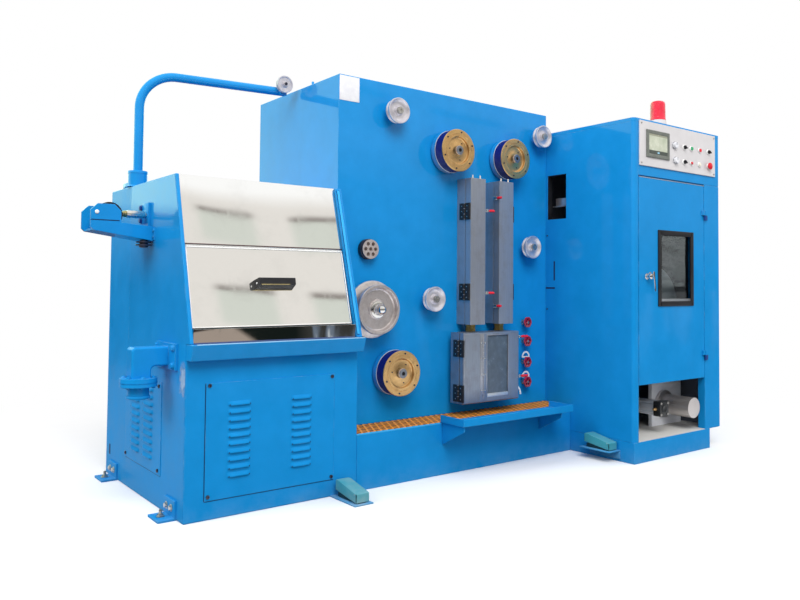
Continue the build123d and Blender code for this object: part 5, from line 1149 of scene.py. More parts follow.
block(ledge, (FRAME_LEFT, LID_FACE - 0.0022, FRAME_FOOT),
      (WINDOW_LEFT + 0.003, FRAME_BACK, FRAME_TOP), 0.0012)
block(ledge, (WINDOW_RIGHT - 0.002, LID_FACE - 0.0012, FRAME_FOOT),
      (FRAME_RIGHT, FRAME_BACK, FRAME_TOP), 0.001)
block(ledge, (FRAME_LEFT, LID_FACE - 0.0012, WINDOW_TOP - 0.001), (FRAME_RIGHT, FRAME_BACK, FRAME_TOP), 0.001)
for index in range(17):
    start = (HINGE_LINE_X, LID_FACE - 0.0015, WINDOW_FOOT - 0.012 + index * KNUCKLE_PITCH)
    spin(ledge, [(0, 0.0004), (0.0034, 0.0004), (0.0038, 0.001), (0.0038, 0.0184), (0.0034, 0.019),
                 (0, 0.019)], start, UPWARD, 14)
block(ledge, (HINGE_LINE_X - 0.022, LID_FACE - 0.0016, WINDOW_FOOT - 0.013),
      (HINGE_LINE_X + 0.019, LID_FACE + 0.001, WINDOW_TOP + 0.008), 0.0005)
piece("box_window_frame", ledge, tube_stainless, "box_lid")
sill_steel = turned_metal("bright sill steel", linear(214, 220, 226), linear(150, 150, 154), 0.3, 0.3, 0.5)
plate("box_window_sill", sill_steel, (WINDOW_LEFT + 0.001, LID_FACE - 0.0018, WINDOW_FOOT),
      (WINDOW_RIGHT - 0.001, LID_FACE + 0.0075, WINDOW_FOOT + 0.018), 0.0015, "box_lid")
hinge_screws = bmesh.new()
for index in range(4):
    for shift in (-0.013, 0.012):
        at = (HINGE_LINE_X + shift, LID_FACE - 0.0016, WINDOW_FOOT + 0.035 + index * SCREW_PITCH)
        spin(hinge_screws, [(0.0044, 0), (0.0042, 0.0014), (0.0028, 0.0026), (0, 0.003)], at, steps=16)
piece("box_hinge_screws", hinge_screws, chrome, "box_lid")
lever = bmesh.new()
latch = Matrix.Translation((lid_high.x + 0.008, -0.44, 0.376)) @ Matrix.Rotation(math.radians(52), 4, "Y")
latch_end = latch @ Matrix.Translation((0.032, 0, 0)) @ Matrix.Rotation(math.radians(28), 4, "Y")
block(lever, (-0.004, -0.003, -0.005), (0.034, 0.003, 0.005), 0.0015, latch)
block(lever, (-0.002, -0.003, -0.005), (0.022, 0.003, 0.005), 0.0015, latch_end)
piece("box_latch_lever", lever, white_cap_and_highlight, "box_lid")
clamps("box_lid", lid_high.x + 0.003, -0.436, (0.64, 0.428), (1, -0.12, 0), 0.072)

# Cooling water valves: crimson cast handwheels with six lobes on steel stems, a bright nut on each,
# bonnets screwed to the plate, and white sector scales behind the two lower wheels.
valve_crimson = enamel("crimson handwheel enamel", linear(164, 22, 66), linear(196, 120, 130), 0.4, 0.2)
handwheel_shade_paint = moulded("dark crimson painted shade in handwheel", linear(78, 12, 46), 0.5)
RIM_TUBE = 0.005
LOBE = 0.0012
SCALE_TURNS = [math.pi * (0.02 + 0.96 * step / 20) for step in range(21)]
bonnets = bmesh.new()
scales = bmesh.new()
for number in range(1, 5):
    low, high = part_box(f"valve_wheel_{number}")
    centre = Vector(((low.x + high.x) / 2, low.y, (low.z + high.z) / 2))
    wheel_place = Matrix.Translation(centre)
    body = f"valve_{number}"
    radius = (high.x - low.x) / 2
    rim = bmesh.new()
    rings = []
    for turn in turns(48):
        reach = radius - RIM_TUBE - LOBE + LOBE * math.cos(6 * turn)
        ring = []
        for around in turns(10):
            spread = reach + RIM_TUBE * math.cos(around)
            depth = 0.0045 - RIM_TUBE * math.sin(around)
            ring.append(rim.verts.new((spread * math.cos(turn), depth, spread * math.sin(turn))))
        rings.append(ring)
    bridge(rim, rings + rings[:1])
    spin(rim, [(0.0, 0.0005), (0.0078, 0.0005), (0.0085, -0.001), (0.0085, -0.012), (0.006, -0.013),
               (0, -0.013)], steps=24)
    for turn in turns(5, 0.3):
        spoke = Matrix.Rotation(turn, 4, "Y")
        block(rim, (0.006, 0.002, -0.0026), (radius - 0.005, 0.0072, 0.0026), 0.0009, spoke)
    wheel = piece(f"handwheel_{number}", rim, valve_crimson, body, 40, wheel_place)
    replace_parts(wheel, f"valve_wheel_{number}")
    # A dark crimson disc behind the spokes paints the shade inside each handwheel.
    web = [(0.007, 0.003), (radius - 0.006, 0.003), (radius - 0.006, 0.001), (0.007, 0.001)]
    turned(f"handwheel_shade_disc_{number}", handwheel_shade_paint, web, (0, 0.0092, 0), steps=40, body=body,
           place=wheel_place)
    stem = bmesh.new()
    spin(stem, [(0.0058, 0.0), (0.0058, 0.04)], (centre.x, high.y, centre.z), steps=20)
    bolt(stem, (centre.x, low.y + 0.0004, centre.z), FRONTWARD, 0.0052)
    piece(f"handwheel_stem_{number}", stem, zinc_bolt, body)
    bonnet_at = (centre.x, PLATE_Y, centre.z)
    spin(bonnets, [(0.0165, 0.0), (0.0165, 0.008), (0.014, 0.009)], bonnet_at, steps=6)
    spin(bonnets, [(0.0125, 0.008), (0.0125, 0.022), (0.0105, 0.025), (0.0066, 0.025)], bonnet_at, steps=24)
    if number > 2:
        arc_y = low.y + 0.0185
        near_y = low.y + 0.0186
        far_y = low.y + 0.02
        arc_z = centre.z + 0.03
        rows = []
        for reach, depth in ((0.02, arc_y), (0.03, arc_y), (0.03, far_y), (0.02, far_y)):
            rows.append([scales.verts.new((centre.x + reach * math.cos(turn), depth,
                                           arc_z + reach * math.sin(turn))) for turn in SCALE_TURNS])
        bridge(scales, rows + rows[:1], closed=False)
        for half, foot, top in ((0.03, 0.024, 0.032), (0.004, 0.008, 0.028)):
            block(scales, (centre.x - half, near_y, centre.z + foot),
                  (centre.x + half, far_y, centre.z + top))
        spin(scales, [(0.0066, 0.0), (0.0125, 0.0), (0.0125, 0.012), (0.0066, 0.012)],
             (centre.x, low.y + 0.027, centre.z), steps=24)
piece("valve_bonnets", bonnets, zinc_bolt)
white_scale = enamel("white scale enamel", linear(226, 230, 234), linear(190, 190, 190), 0.4, 0.2)
piece("valve_scales", scales, white_scale)

# Shelf of the annealer: a folded blue tray on two gusset brackets, welded to the base front
# and painted with the machine.
dress(machine_blue, "shelf")
soften(0.002, "shelf")

# Take-up door: a folded sheet door on two lift-off hinges, with a glazed window in a black rubber
# gasket and a chromed knob and lever. The housing beside it has a small screwed flap.
dress(machine_blue, "takeup_door")
# The hinges take navy paint that stands for shade, so they read as dark slits.
dress(navy, "door_hinges")
soften(0.0018, "door_hinges")
left_wall_low, left_wall_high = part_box("takeup_left_wall")
glass_low, glass_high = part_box("door_window")
door_low, door_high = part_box("takeup_door")
DOOR_FACE = left_wall_low.y
TAKEUP_LEFT = left_wall_low.x
GASKET = 0.013
gasket = bmesh.new()
for low_x, low_z, high_x, high_z in (
        (glass_low.x - GASKET, glass_low.z - GASKET, glass_low.x + GASKET, glass_high.z + GASKET),
        (glass_high.x - GASKET, glass_low.z - GASKET, glass_high.x + GASKET, glass_high.z + GASKET),
        (glass_low.x, glass_low.z - GASKET, glass_high.x, glass_low.z + GASKET),
        (glass_low.x, glass_high.z - GASKET, glass_high.x, glass_high.z + GASKET)):
    block(gasket, (low_x, DOOR_FACE - 0.0075, low_z), (high_x, DOOR_FACE + 0.003, high_z), 0.003)
piece("window_gasket", gasket, black_nylon, "door_leaf")
GLASS_LEFT = glass_low.x + GASKET
GLASS_FOOT = glass_low.z + GASKET
pale_sheet_and_highlight = steel("anodised pale sheet and painted highlight", linear(214, 218, 224), 0.45, (8.0, 300.0, 300.0), 0.12)
# A slim red strip inside the gasket's left edge, as a painted red glint.
plate("gasket_red_glint", grip_red, (GLASS_LEFT, DOOR_FACE - 0.004, glass_low.z + 0.016),
      (GLASS_LEFT + 0.0025, DOOR_FACE + 0.002, glass_high.z - 0.016), 0.0008, "door_leaf")
plate("window_sill_strip", pale_sheet_and_highlight, (GLASS_LEFT, DOOR_FACE - 0.002, GLASS_FOOT),
      (glass_high.x - GASKET, DOOR_FACE + 0.006, GLASS_FOOT + 0.014), 0.001, "door_leaf")


def window_glass(name):
    """Clear sheet glass with a faint green grey body, dust and wipe marks."""
    material, tree, shader, place = finish_named(name, Transmission_Weight=1.0, IOR=1.32)
    wiped = noise(tree, stretch(tree, place, (6.0, 6.0, 22.0), (0, 0.5, 0)), 1.0, 5.0)
    colour_now = tint(tree, ramp(tree, wiped, 0.4, 0.8), linear(186, 194, 196), linear(150, 160, 164))
    connect(tree, shader, Base_Color=colour_now, Roughness=ramp(tree, wiped, 0.5, 0.85, 0.0, 0.12))
    return material


dress(window_glass("door glass"), "door_window")

lock_low, lock_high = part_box("door_lock")
LOCK_X = (lock_low.x + lock_high.x) / 2
LOCK_Z = 0.968
LEVER_X = LOCK_X + 0.027
LEVER_Z = LOCK_Z + 0.012
lock = bmesh.new()
spin(lock, [(0.017, 0.0), (0.017, 0.003), (0.0155, 0.005), (0.01, 0.006), (0.009, 0.014), (0.0135, 0.018),
            (0.015, 0.024), (0.0135, 0.03), (0.008, 0.0335), (0.0, 0.034)],
     (LOCK_X, DOOR_FACE, LOCK_Z), steps=40)
spin(lock, [(0.012, 0.0), (0.012, 0.003), (0.007, 0.004), (0.007, 0.024), (0.0, 0.024)],
     (LEVER_X, DOOR_FACE, LEVER_Z), steps=28)
lever_path = [(0.0, 0.014), (0.0012, 0.004), (0.003, -0.012), (0.006, -0.034), (0.01, -0.058),
              (0.0125, -0.078), (0.0125, -0.09)]
rings = []
for index, (shift, drop) in enumerate(lever_path):
    half = 0.0062 - 0.0022 * index / (len(lever_path) - 1)
    rings.append([lock.verts.new((LEVER_X + shift + half * math.cos(turn),
                                  DOOR_FACE - 0.026 - 0.6 * half * math.sin(turn), LEVER_Z + drop))
                  for turn in turns(10)])
bridge(lock, rings)
lock.faces.new(rings[0])
lock.faces.new(list(reversed(rings[-1])))
lock_piece = piece("knob_and_lever", lock, chrome, "door_leaf")
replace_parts(lock_piece, "door_lock")

FLAP_FACE = TAKEUP_LEFT - 0.0005
FLAP_BACK = TAKEUP_LEFT + 0.002
FLAP_FRONT = -0.3945
flap = bmesh.new()
block(flap, (FLAP_FACE, FLAP_FRONT, 0.945), (FLAP_BACK, FLAP_FRONT + 0.01, 1.055))
block(flap, (FLAP_FACE, FLAP_FRONT, 0.897), (FLAP_BACK, PLATE_Y - 0.001, 0.906))
piece("flap_joint", flap, shadow_gap)
flap_screws = bmesh.new()
for screw_z in (1.205, 0.78):
    socket_screw(flap_screws, (TAKEUP_LEFT, PLATE_Y - 0.012, screw_z), LEFTWARD, 0.0045)
piece("flap_screws", flap_screws, dark_screw)
LINING = 0.0012
entry_low = Vector((TAKEUP_LEFT + 0.0006, -0.4785, 1.297))
entry_high = Vector((left_wall_high.x, -0.3385, 1.552))
# Thin black blocks inside the wire entry, as painted shade in the hole.
entry_shade_paint = moulded("black painted shade in wire entry", linear(14, 16, 24), 0.7)
entry_lining = bmesh.new()
for axis in (1, 2):
    near_side = entry_high.copy()
    near_side[axis] = entry_low[axis] + LINING
    far_side = entry_low.copy()
    far_side[axis] = entry_high[axis] - LINING
    block(entry_lining, entry_low, near_side)
    block(entry_lining, far_side, entry_high)
piece("wire_entry_shade", entry_lining, entry_shade_paint)
# A pale strip along the door's top edge, its painted highlight below the dark gap.
plate("door_top_highlight", pale_sheet_and_highlight, (door_low.x + 0.002, DOOR_FACE - 0.0012, door_high.z - 0.0052),
      (door_high.x - 0.002, DOOR_FACE + 0.001, door_high.z - 0.0012), 0.0006, "door_leaf")
ENTRY_X = TAKEUP_LEFT + 0.06
ENTRY_BACK = ENTRY_X + 0.003
entry_parts = bmesh.new()
block(entry_parts, (ENTRY_X, -0.43, 1.372), (ENTRY_BACK, -0.345, 1.424), 0.0008)
block(entry_parts, (TAKEUP_LEFT + 0.034, -0.43, 1.372), (ENTRY_BACK, -0.345, 1.376), 0.0008)
entry_wheel = (ENTRY_X, -0.452, 1.398)
spin(entry_parts, [(0.004, 0.0), (0.017, 0.0), (0.019, 0.003), (0.014, 0.007), (0.014, 0.009), (0.019, 0.013),
                   (0.017, 0.016), (0.004, 0.016)], entry_wheel, LEFTWARD, 36)
spin(entry_parts, [(0.004, -0.003), (0.004, 0.017), (0, 0.018)], entry_wheel, LEFTWARD, 16)
block(entry_parts, (ENTRY_X, -0.462, 1.388), (ENTRY_BACK, -0.425, 1.408), 0.0006)
piece("wire_entry_guide", entry_parts, aged_turned)

# Control panel: a pale grey sheet screwed to the header, with a framed touch screen, two dials,
# selector knobs, push buttons in white collars and a red mushroom stop button.
panel_grey = enamel("pale grey panel enamel", linear(212, 209, 210), linear(196, 196, 196), 0.4, 0.25, 0.1)
dress(panel_grey, "control_panel")
soften(0.0015, "control_panel")
panel_low, panel_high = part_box("control_panel")
PANEL_FACE = panel_low.y
SCREW_INSET = 0.014
panel_screws = bmesh.new()
for screw_x in (panel_low.x + SCREW_INSET, panel_high.x - SCREW_INSET):
    for screw_z in (panel_low.z + SCREW_INSET, panel_high.z - SCREW_INSET):
        socket_screw(panel_screws, (screw_x, PANEL_FACE, screw_z), FRONTWARD, 0.0045)
piece("panel_screws", panel_screws, zinc_bolt)

SCREEN_LEFT = 1.1845
SCREEN_RIGHT = 1.3855
SCREEN_FOOT = 1.6
SCREEN_TOP = 1.747
BEZEL = 0.02
screen_x = (SCREEN_LEFT + SCREEN_RIGHT) / 2
bezel = bmesh.new()
loops = []
for inset, out in ((0.0, 0.0), (0.0, 0.006), (0.003, 0.009), (BEZEL - 0.004, 0.0085), (BEZEL, 0.0055)):
    left_x = SCREEN_LEFT + inset
    right_x = SCREEN_RIGHT - inset
    foot_z = SCREEN_FOOT + inset
    top_z = SCREEN_TOP - inset
    loops.append([bezel.verts.new((x, PANEL_FACE - out, z))
                  for x, z in ((left_x, foot_z), (right_x, foot_z), (right_x, top_z), (left_x, top_z))])
bridge(bezel, loops)
bezel_grey = moulded("grey green screen frame", linear(104, 108, 102), 0.45)
bezel_piece = piece("screen_bezel", bezel, bezel_grey)
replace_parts(bezel_piece, "panel_controls")


def display(name):
    """A pale touch display, its colour clouded with painted reflections, with a dark bar at its foot."""
    material, tree, shader, place = finish_named(name, Coat_Weight=0.6, Coat_Roughness=0.06)
    height = axes_of(tree, place)["Z"]
    cloud = noise(tree, place, 16.0, 3.0)
    bar = ramp(tree, height, SCREEN_FOOT + 0.0405, SCREEN_FOOT + 0.0395)
    head = ramp(tree, height, SCREEN_TOP - 0.031, SCREEN_TOP - 0.0295)
    colour_now = tint(tree, ramp(tree, cloud, 0.35, 0.65), linear(178, 186, 162), linear(206, 210, 190))
    colour_now = tint(tree, bar, colour_now, linear(64, 72, 66))
    colour_now = tint(tree, head, colour_now, linear(150, 152, 132))
    connect(tree, shader, Base_Color=colour_now, Roughness=ramp(tree, cloud, 0.3, 0.7, 0.18, 0.3))
    return material


PANE_INSET = BEZEL - 0.001
plate("touch_display", display("touch display"),
      (SCREEN_LEFT + PANE_INSET, PANEL_FACE - 0.0056, SCREEN_FOOT + PANE_INSET),
      (SCREEN_RIGHT - PANE_INSET, PANEL_FACE - 0.001, SCREEN_TOP - PANE_INSET))
key_blue = moulded("pale blue display key", linear(150, 198, 226), 0.3)
plate("display_key", key_blue, (screen_x - 0.008, PANEL_FACE - 0.0062, SCREEN_FOOT + 0.0245),
      (screen_x + 0.01, PANEL_FACE - 0.005, SCREEN_FOOT + 0.0335), 0.0003)

UPPER_ROW = 1.689
LOWER_ROW = 1.607
SMALL = 0.78
CAP_COLOURS = {"black": linear(22, 22, 28), "green": linear(34, 150, 96), "red": linear(216, 26, 46),
               "white": linear(232, 224, 206)}
collars = bmesh.new()
dials = bmesh.new()
caps = {colour: bmesh.new() for colour in CAP_COLOURS}
for control_x, control_z, kind in (
        (1.4355, UPPER_ROW, "dial"), (1.5275, UPPER_ROW, "black"), (1.5965, UPPER_ROW, "green"),
        (1.6795, UPPER_ROW, "red"), (1.7655, UPPER_ROW, "black"), (1.4435, LOWER_ROW, "dial"),
        (1.5265, LOWER_ROW, "black"), (1.5955, LOWER_ROW, "small red"), (1.6745, LOWER_ROW, "white"),
        (1.7665, LOWER_ROW, "stop")):
    at = (control_x, PANEL_FACE, control_z)
    if kind == "dial":
        spin(dials, [(0.021, 0.0), (0.021, 0.003), (0.0185, 0.004), (0.0175, 0.005), (0.0168, 0.016),
                     (0.015, 0.0185), (0.0, 0.019)], at, steps=40)
        spin(caps["black"], [(0.0198, 0.0033), (0.0204, 0.0042), (0.0178, 0.0046)], at, steps=40)
        block(caps["black"], (control_x - 0.0012, PANEL_FACE - 0.0196, control_z),
              (control_x + 0.0012, PANEL_FACE - 0.017, control_z + 0.016), 0.0003)
        continue
    if kind == "stop":
        spin(collars, [(0.015, 0.0), (0.015, 0.004), (0.013, 0.006), (0.01, 0.006)], at, steps=36)
        spin(caps["red"], [(0.01, 0.003), (0.0105, 0.009), (0.019, 0.0115), (0.0205, 0.0145),
                           (0.019, 0.0185), (0.014, 0.0212), (0.0, 0.022)], at, steps=40)
        continue
    size = SMALL if kind == "small red" else 1.0
    spin(collars, [(0.0148 * size, 0.0), (0.0148 * size, 0.003), (0.0135 * size, 0.006),
                   (0.011 * size, 0.0066), (0.0105 * size, 0.004)], at, steps=36)
    if kind == "black":
        spin(caps["black"], [(0.0105, 0.004), (0.0112, 0.009), (0.0108, 0.0115), (0.0, 0.012)], at, steps=32)
        turn = Matrix.Translation(at) @ Matrix.Rotation(math.radians(35), 4, "Y")
        block(caps["black"], (-0.0112, -0.0205, -0.0034), (0.0112, -0.0105, 0.0034), 0.0014, turn)
    else:
        spin(caps["red" if kind == "small red" else kind],
             [(0.0102 * size, 0.004), (0.0102 * size, 0.0095), (0.0086 * size, 0.0112), (0.0, 0.0122)], at,
             steps=32)
piece("button_collars", collars, white_cap_and_highlight)
dial_cap = moulded("pale dial cap", linear(224, 225, 232), 0.25)
piece("panel_dials", dials, dial_cap)
for colour, caps_shape in caps.items():
    cap_plastic = moulded(f"{colour} button plastic", CAP_COLOURS[colour], 0.32)
    piece(f"{colour}_caps", caps_shape, cap_plastic)

# Beacon on the take-up roof: a ribbed red lens of clear plastic that glows a little, on a round
# pale grey base.
beacon_low, beacon_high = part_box("beacon")
BEACON_AT = ((beacon_low.x + beacon_high.x) / 2, (beacon_low.y + beacon_high.y) / 2, beacon_low.z)
BEACON_RADIUS = (beacon_high.x - beacon_low.x) / 2 * 1.08
BEACON_HEIGHT = (beacon_high.z - beacon_low.z) * 1.14
RIBS = 36
RIB_DEPTH = 0.012
lens = bmesh.new()
rings = []
for share, rise in ((0.93, 0.19), (0.93, 0.22), (0.9, 0.24), (0.885, 0.55), (0.865, 0.86), (0.82, 0.93),
                    (0.7, 0.975), (0.45, 1.0)):
    ring = []
    for index, turn in enumerate(turns(RIBS * 2)):
        ripple = RIB_DEPTH if index % 2 and 0.23 < rise < 0.9 else 0.0
        reach = BEACON_RADIUS * (share - ripple)
        ring.append(lens.verts.new((reach * math.cos(turn), reach * math.sin(turn), BEACON_HEIGHT * rise)))
    rings.append(ring)
bridge(lens, rings)
lens.faces.new(rings[-1])


def lens_plastic(name, colour):
    """Red clear plastic that glows a little from the light inside it."""
    material, tree, shader, place = finish_named(name, Coat_Weight=0.5, Coat_Roughness=0.08,
                                                 Subsurface_Weight=0.35,
                                                 Subsurface_Radius=(0.02, 0.004, 0.003))
    cloud = noise(tree, place, 40.0, 3.0)
    colour_now = tint(tree, ramp(tree, cloud, 0.3, 0.7), shaded(colour, 0.72), colour)
    connect(tree, shader, Base_Color=colour_now, Roughness=ramp(tree, cloud, 0.3, 0.7, 0.16, 0.3))
    return material


red_lens = lens_plastic("red lens plastic", linear(246, 22, 66))
lens_piece = piece("ribbed_beacon_lens", lens, red_lens, angle=50,
                   place=Matrix.Translation(BEACON_AT))
turned("beacon_base", panel_grey,
       [(BEACON_RADIUS, 0.0), (BEACON_RADIUS, 0.012), (BEACON_RADIUS * 0.97, 0.015),
        (BEACON_RADIUS * 0.97, 0.02), (BEACON_RADIUS * 0.9, 0.0255), (0, 0.0255)],
       BEACON_AT, UPWARD, 56)
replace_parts(lens_piece, "beacon")

# Spool chamber of the take-up: plain welded panels, enamelled blue outside and left in dark
# slate primer inside, where the one material changes colour within the chamber's box.
wall_low, wall_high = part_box("takeup_right_wall")
PRIMER_SKIN = Vector((0.001, 0.001, 0.001))
primer_low = Vector((left_wall_high.x, wall_low.y, wall_low.z)) - PRIMER_SKIN
primer_high = Vector((wall_low.x, wall_high.y, wall_high.z)) + PRIMER_SKIN
primed_blue = machine_blue.copy()
primed_blue.name = "machine blue over slate primer"
primed = primed_blue.node_tree
primed_place = add(primed, "ShaderNodeTexCoord").outputs["Object"]
inward = vector_maths(primed, "SUBTRACT", primed_place, (primer_low + primer_high) / 2)[0]
inward = vector_maths(primed, "DIVIDE", inward, (primer_high - primer_low) / 2)[0]
inward = axes_of(primed, vector_maths(primed, "ABSOLUTE", inward)[0])
furthest = maths(primed, "MAXIMUM", maths(primed, "MAXIMUM", inward[0], inward[1]), inward[2])
inside = maths(primed, "LESS_THAN", furthest, 1.0)
primed_shader = primed.nodes["Principled BSDF"]
outer_coat = primed_shader.inputs["Base Color"].links[0].from_socket
connect(primed, primed_shader, Base_Color=tint(primed, inside, outer_coat, linear(90, 96, 108)))
dress(primed_blue, "takeup_housing", "takeup_left_wall", "takeup_right_wall", "takeup_right_post",
      "takeup_header", "takeup_roof")

# Spool and its spindle: a grey enamelled reel behind the door window, and a bright ground shaft
# that stands out from the chamber's wall.
spool_grey = enamel("grey spool enamel", linear(216, 218, 216), linear(232, 232, 232), 0.4, 0.3, 0.1)
dress(spool_grey, "spool")
soften(0.003, "spool")
shaft_steel = steel("ground shaft steel", linear(214, 208, 206), 0.3, (500.0, 14.0, 500.0), 0.3, 0.8)
dress(shaft_steel, "takeup_shafts")

# Traverse drive behind the lower opening: a grey support plate with a round collar, a ground shaft
# and an air cylinder with a black end cap, four bright screws and a brass union, over a worn sheet.
# The support plate's pale grey is lifted to near white, painted light for the light inside the opening.
support_enamel_lit = enamel("grey support enamel painted pale for light", linear(238, 240, 246), linear(244, 244, 244), 0.5, 0.6)
dress(support_enamel_lit, "support_plate")
soften(0.002, "support_plate")
cylinder_low, cylinder_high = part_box("air_cylinder")
CYLINDER_X = (cylinder_low.x + cylinder_high.x) / 2
CYLINDER_Z = (cylinder_low.z + cylinder_high.z) / 2
CYLINDER_LENGTH = cylinder_high.y - cylinder_low.y
CAP_FACE = cylinder_low.y
CAP_DEPTH = 0.044
HALF_CAP = (cylinder_high.x - cylinder_low.x) / 2
BACKWARD = (0, 1, 0)
alloy = steel("anodised cylinder alloy", linear(222, 228, 236), 0.34, (300.0, 10.0, 300.0), 0.2, 0.5)
barrel = bmesh.new()
cap = bmesh.new()
cap_screws = bmesh.new()
cap_at = (CYLINDER_X, CAP_FACE, CYLINDER_Z)
spin(barrel, [(0.033, CAP_DEPTH - 0.002), (0.033, CYLINDER_LENGTH)], cap_at, BACKWARD, 56)
block(cap, cylinder_low, (cylinder_high.x, CAP_FACE + CAP_DEPTH, cylinder_high.z), 0.003)
spin(cap, [(0.022, 0.0), (0.022, 0.003), (0.018, 0.0035), (0.014, 0.0005), (0.0, 0.0005)], cap_at, steps=36)
block(cap, (cylinder_low.x - 0.006, CAP_FACE + 0.01, CYLINDER_Z - 0.012),
      (cylinder_low.x + 0.002, CAP_FACE + 0.034, CYLINDER_Z + 0.012), 0.001)
for side_x in (-1, 1):
    for side_z in (-1, 1):
        rod = HALF_CAP - 0.009
        spin(barrel, [(0.0055, CAP_DEPTH - 0.002), (0.0055, CYLINDER_LENGTH)],
             (CYLINDER_X + side_x * rod, CAP_FACE, CYLINDER_Z + side_z * rod), BACKWARD, 16)
        corner = HALF_CAP - 0.01
        socket_screw(cap_screws, (CYLINDER_X + side_x * corner, CAP_FACE, CYLINDER_Z + side_z * corner),
                     FRONTWARD, 0.0062)
barrel_piece = piece("air_cylinder_barrel", barrel, alloy)
cap_black = moulded("black cylinder cap", linear(22, 25, 27), 0.38)
piece("air_cylinder_cap", cap, cap_black)
piece("air_cylinder_screws", cap_screws, zinc_bolt)
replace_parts(barrel_piece, "air_cylinder")
union = bmesh.new()
union_at = (cylinder_low.x - 0.005, CAP_FACE + 0.022, CYLINDER_Z)
spin(union, [(0.0085, 0.0), (0.0085, 0.008), (0.0065, 0.009)], union_at, LEFTWARD, 6)
spin(union, [(0.0065, 0.008), (0.0065, 0.018), (0.005, 0.02), (0.005, 0.026), (0.0022, 0.026),
             (0.0022, 0.014)], union_at, LEFTWARD, 20)
piece("air_cylinder_union", union, brass)
worn_sheet = enamel("worn pale sheet", linear(206, 204, 200), linear(132, 112, 96), 0.55, 1.0)
plate("worn_floor_sheet", worn_sheet, (TAKEUP_LEFT + 0.036, DOOR_FACE + 0.002, 0.1085),
      (wall_low.x - 0.0005, -0.165, 0.1125), 0.0008)

# Foot pedals: teal cast hoods that are pinned at the front of low ribbed bodies, one on a floor plate
# and one on a blue bracket plate of the take-up. Dusty on top, the pale dust partly painted light on
# the tops; raised at the back until pressed.
# The teal's large dust share paints the hood tops pale, partly dust and partly painted light.
teal = enamel("teal pedal enamel", linear(64, 156, 172), linear(176, 198, 200), 0.45, 0.7, 0.05)
plate_blue = enamel("pale blue plate enamel", linear(58, 152, 208), RUBBED_BLUE, 0.4, 0.5, 0.05)
pedal_rubber = moulded("dark pedal rubber", linear(20, 62, 70), 0.6)
HOOD_WALL = 0.0025
HOOD_HALF = 0.033
PLATE_HALF = 0.046
PLATE_DROP = 0.038
PIN_HALF = 0.0345
hood_profile = [(-0.0125, -0.034), (-0.0125, 0.001), (-0.0095, 0.0045), (0.135, 0.033), (0.147, 0.0335),
                (0.1525, 0.029), (0.1535, -0.009)]
hood_lining = [(-0.01, -0.034), (-0.01, 0.0004), (-0.0085, 0.002), (0.135, 0.0305), (0.146, 0.031),
               (0.15, 0.0275), (0.151, -0.009)]
pedal_base = bmesh.new()
pedal_ribs = bmesh.new()
pedal_pins = bmesh.new()
for body, node in (("floor_pedal", "floor_treadle"), ("cabinet_pedal", "cabinet_treadle")):
    low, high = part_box(node)
    pin = Vector(((low.x + high.x) / 2, low.y + 0.009, high.z - 0.06))
    hood = bmesh.new()
    shells = []
    for outline, half in ((hood_profile, HOOD_HALF), (hood_lining, HOOD_HALF - HOOD_WALL)):
        sides = [[hood.verts.new(pin + Vector((side, y, z))) for y, z in outline] for side in (-half, half)]
        for side in sides:
            hood.faces.new(side)
        bridge(hood, sides, closed=False)
        shells.append(sides)
    outer, inner = shells
    for side in (0, 1):
        hood.faces.new((outer[side][0], outer[side][-1], inner[side][-1], inner[side][0]))
    for end in (0, -1):
        hood.faces.new((outer[0][end], outer[1][end], inner[1][end], inner[0][end]))
    rounded = []
    for line in outer:
        open_ends = {line[0], line[-1]}
        rounded += [edge for edge in hood.edges
                    if set(edge.verts) <= set(line) and set(edge.verts) != open_ends]
    bmesh.ops.bevel(hood, geom=rounded, offset=0.0035, segments=3, profile=0.5, affect="EDGES")
    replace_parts(piece(f"{body}_hood", hood, teal, body, 30), node)
    top = pin.z - PLATE_DROP
    near = pin.y - 0.025
    far = pin.y + 0.175
    block(pedal_base, (pin.x - PLATE_HALF, near, top - 0.006), (pin.x + PLATE_HALF, far, top), 0.001)
    if body == "cabinet_pedal":
        block(pedal_base, (pin.x + 0.04, near, top - 0.046), (pin.x + PLATE_HALF, far, top - 0.003), 0.001)
    block(pedal_ribs, (pin.x - 0.024, pin.y - 0.006, top - 0.001),
          (pin.x + 0.024, pin.y + 0.141, top + 0.02), 0.002)
    for rise in (0.005, 0.011, 0.017):
        block(pedal_ribs, (pin.x - 0.0265, pin.y + 0.004, top + rise - 0.0018),
              (pin.x + 0.0265, pin.y + 0.143, top + rise + 0.0018), 0.0006)
    for ear_x in (pin.x - 0.0225, pin.x + 0.0225):
        block(pedal_ribs, (ear_x - 0.003, pin.y - 0.0055, top + 0.012),
              (ear_x + 0.003, pin.y + 0.0055, pin.z + 0.0006), 0.0006)
    spin(pedal_pins, [(0.0, -PIN_HALF), (0.0024, -PIN_HALF), (0.0024, PIN_HALF), (0.0, PIN_HALF)], pin,
         (1, 0, 0), 16)
base_piece = piece("pedal_plates", pedal_base, plate_blue)
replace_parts(base_piece, "pedal_bases")
piece("pedal_ribs", pedal_ribs, pedal_rubber)
piece("pedal_pins", pedal_pins, zinc_bolt)

# A plain pale floor, soft light from the front left and above, and the camera that looks
# slightly up at the machine's front left corner. A ring of soft colours far off, seen only in
# polished metal, gives the covers something to mirror.


def soft_lamp(name, at, aim, size, power):
    """A broad square lamp that looks at a point."""
    data = bpy.data.lights.new(name, "AREA")
    data.shape = "SQUARE"
    data.size = size
    data.energy = power
    lamp = bpy.data.objects.new(name, data)
    bpy.context.scene.collection.objects.link(lamp)
    lamp.location = at
    lamp.rotation_euler = (Vector(aim) - Vector(at)).to_track_quat("-Z", "Y").to_euler()
    lamp.visible_glossy = False


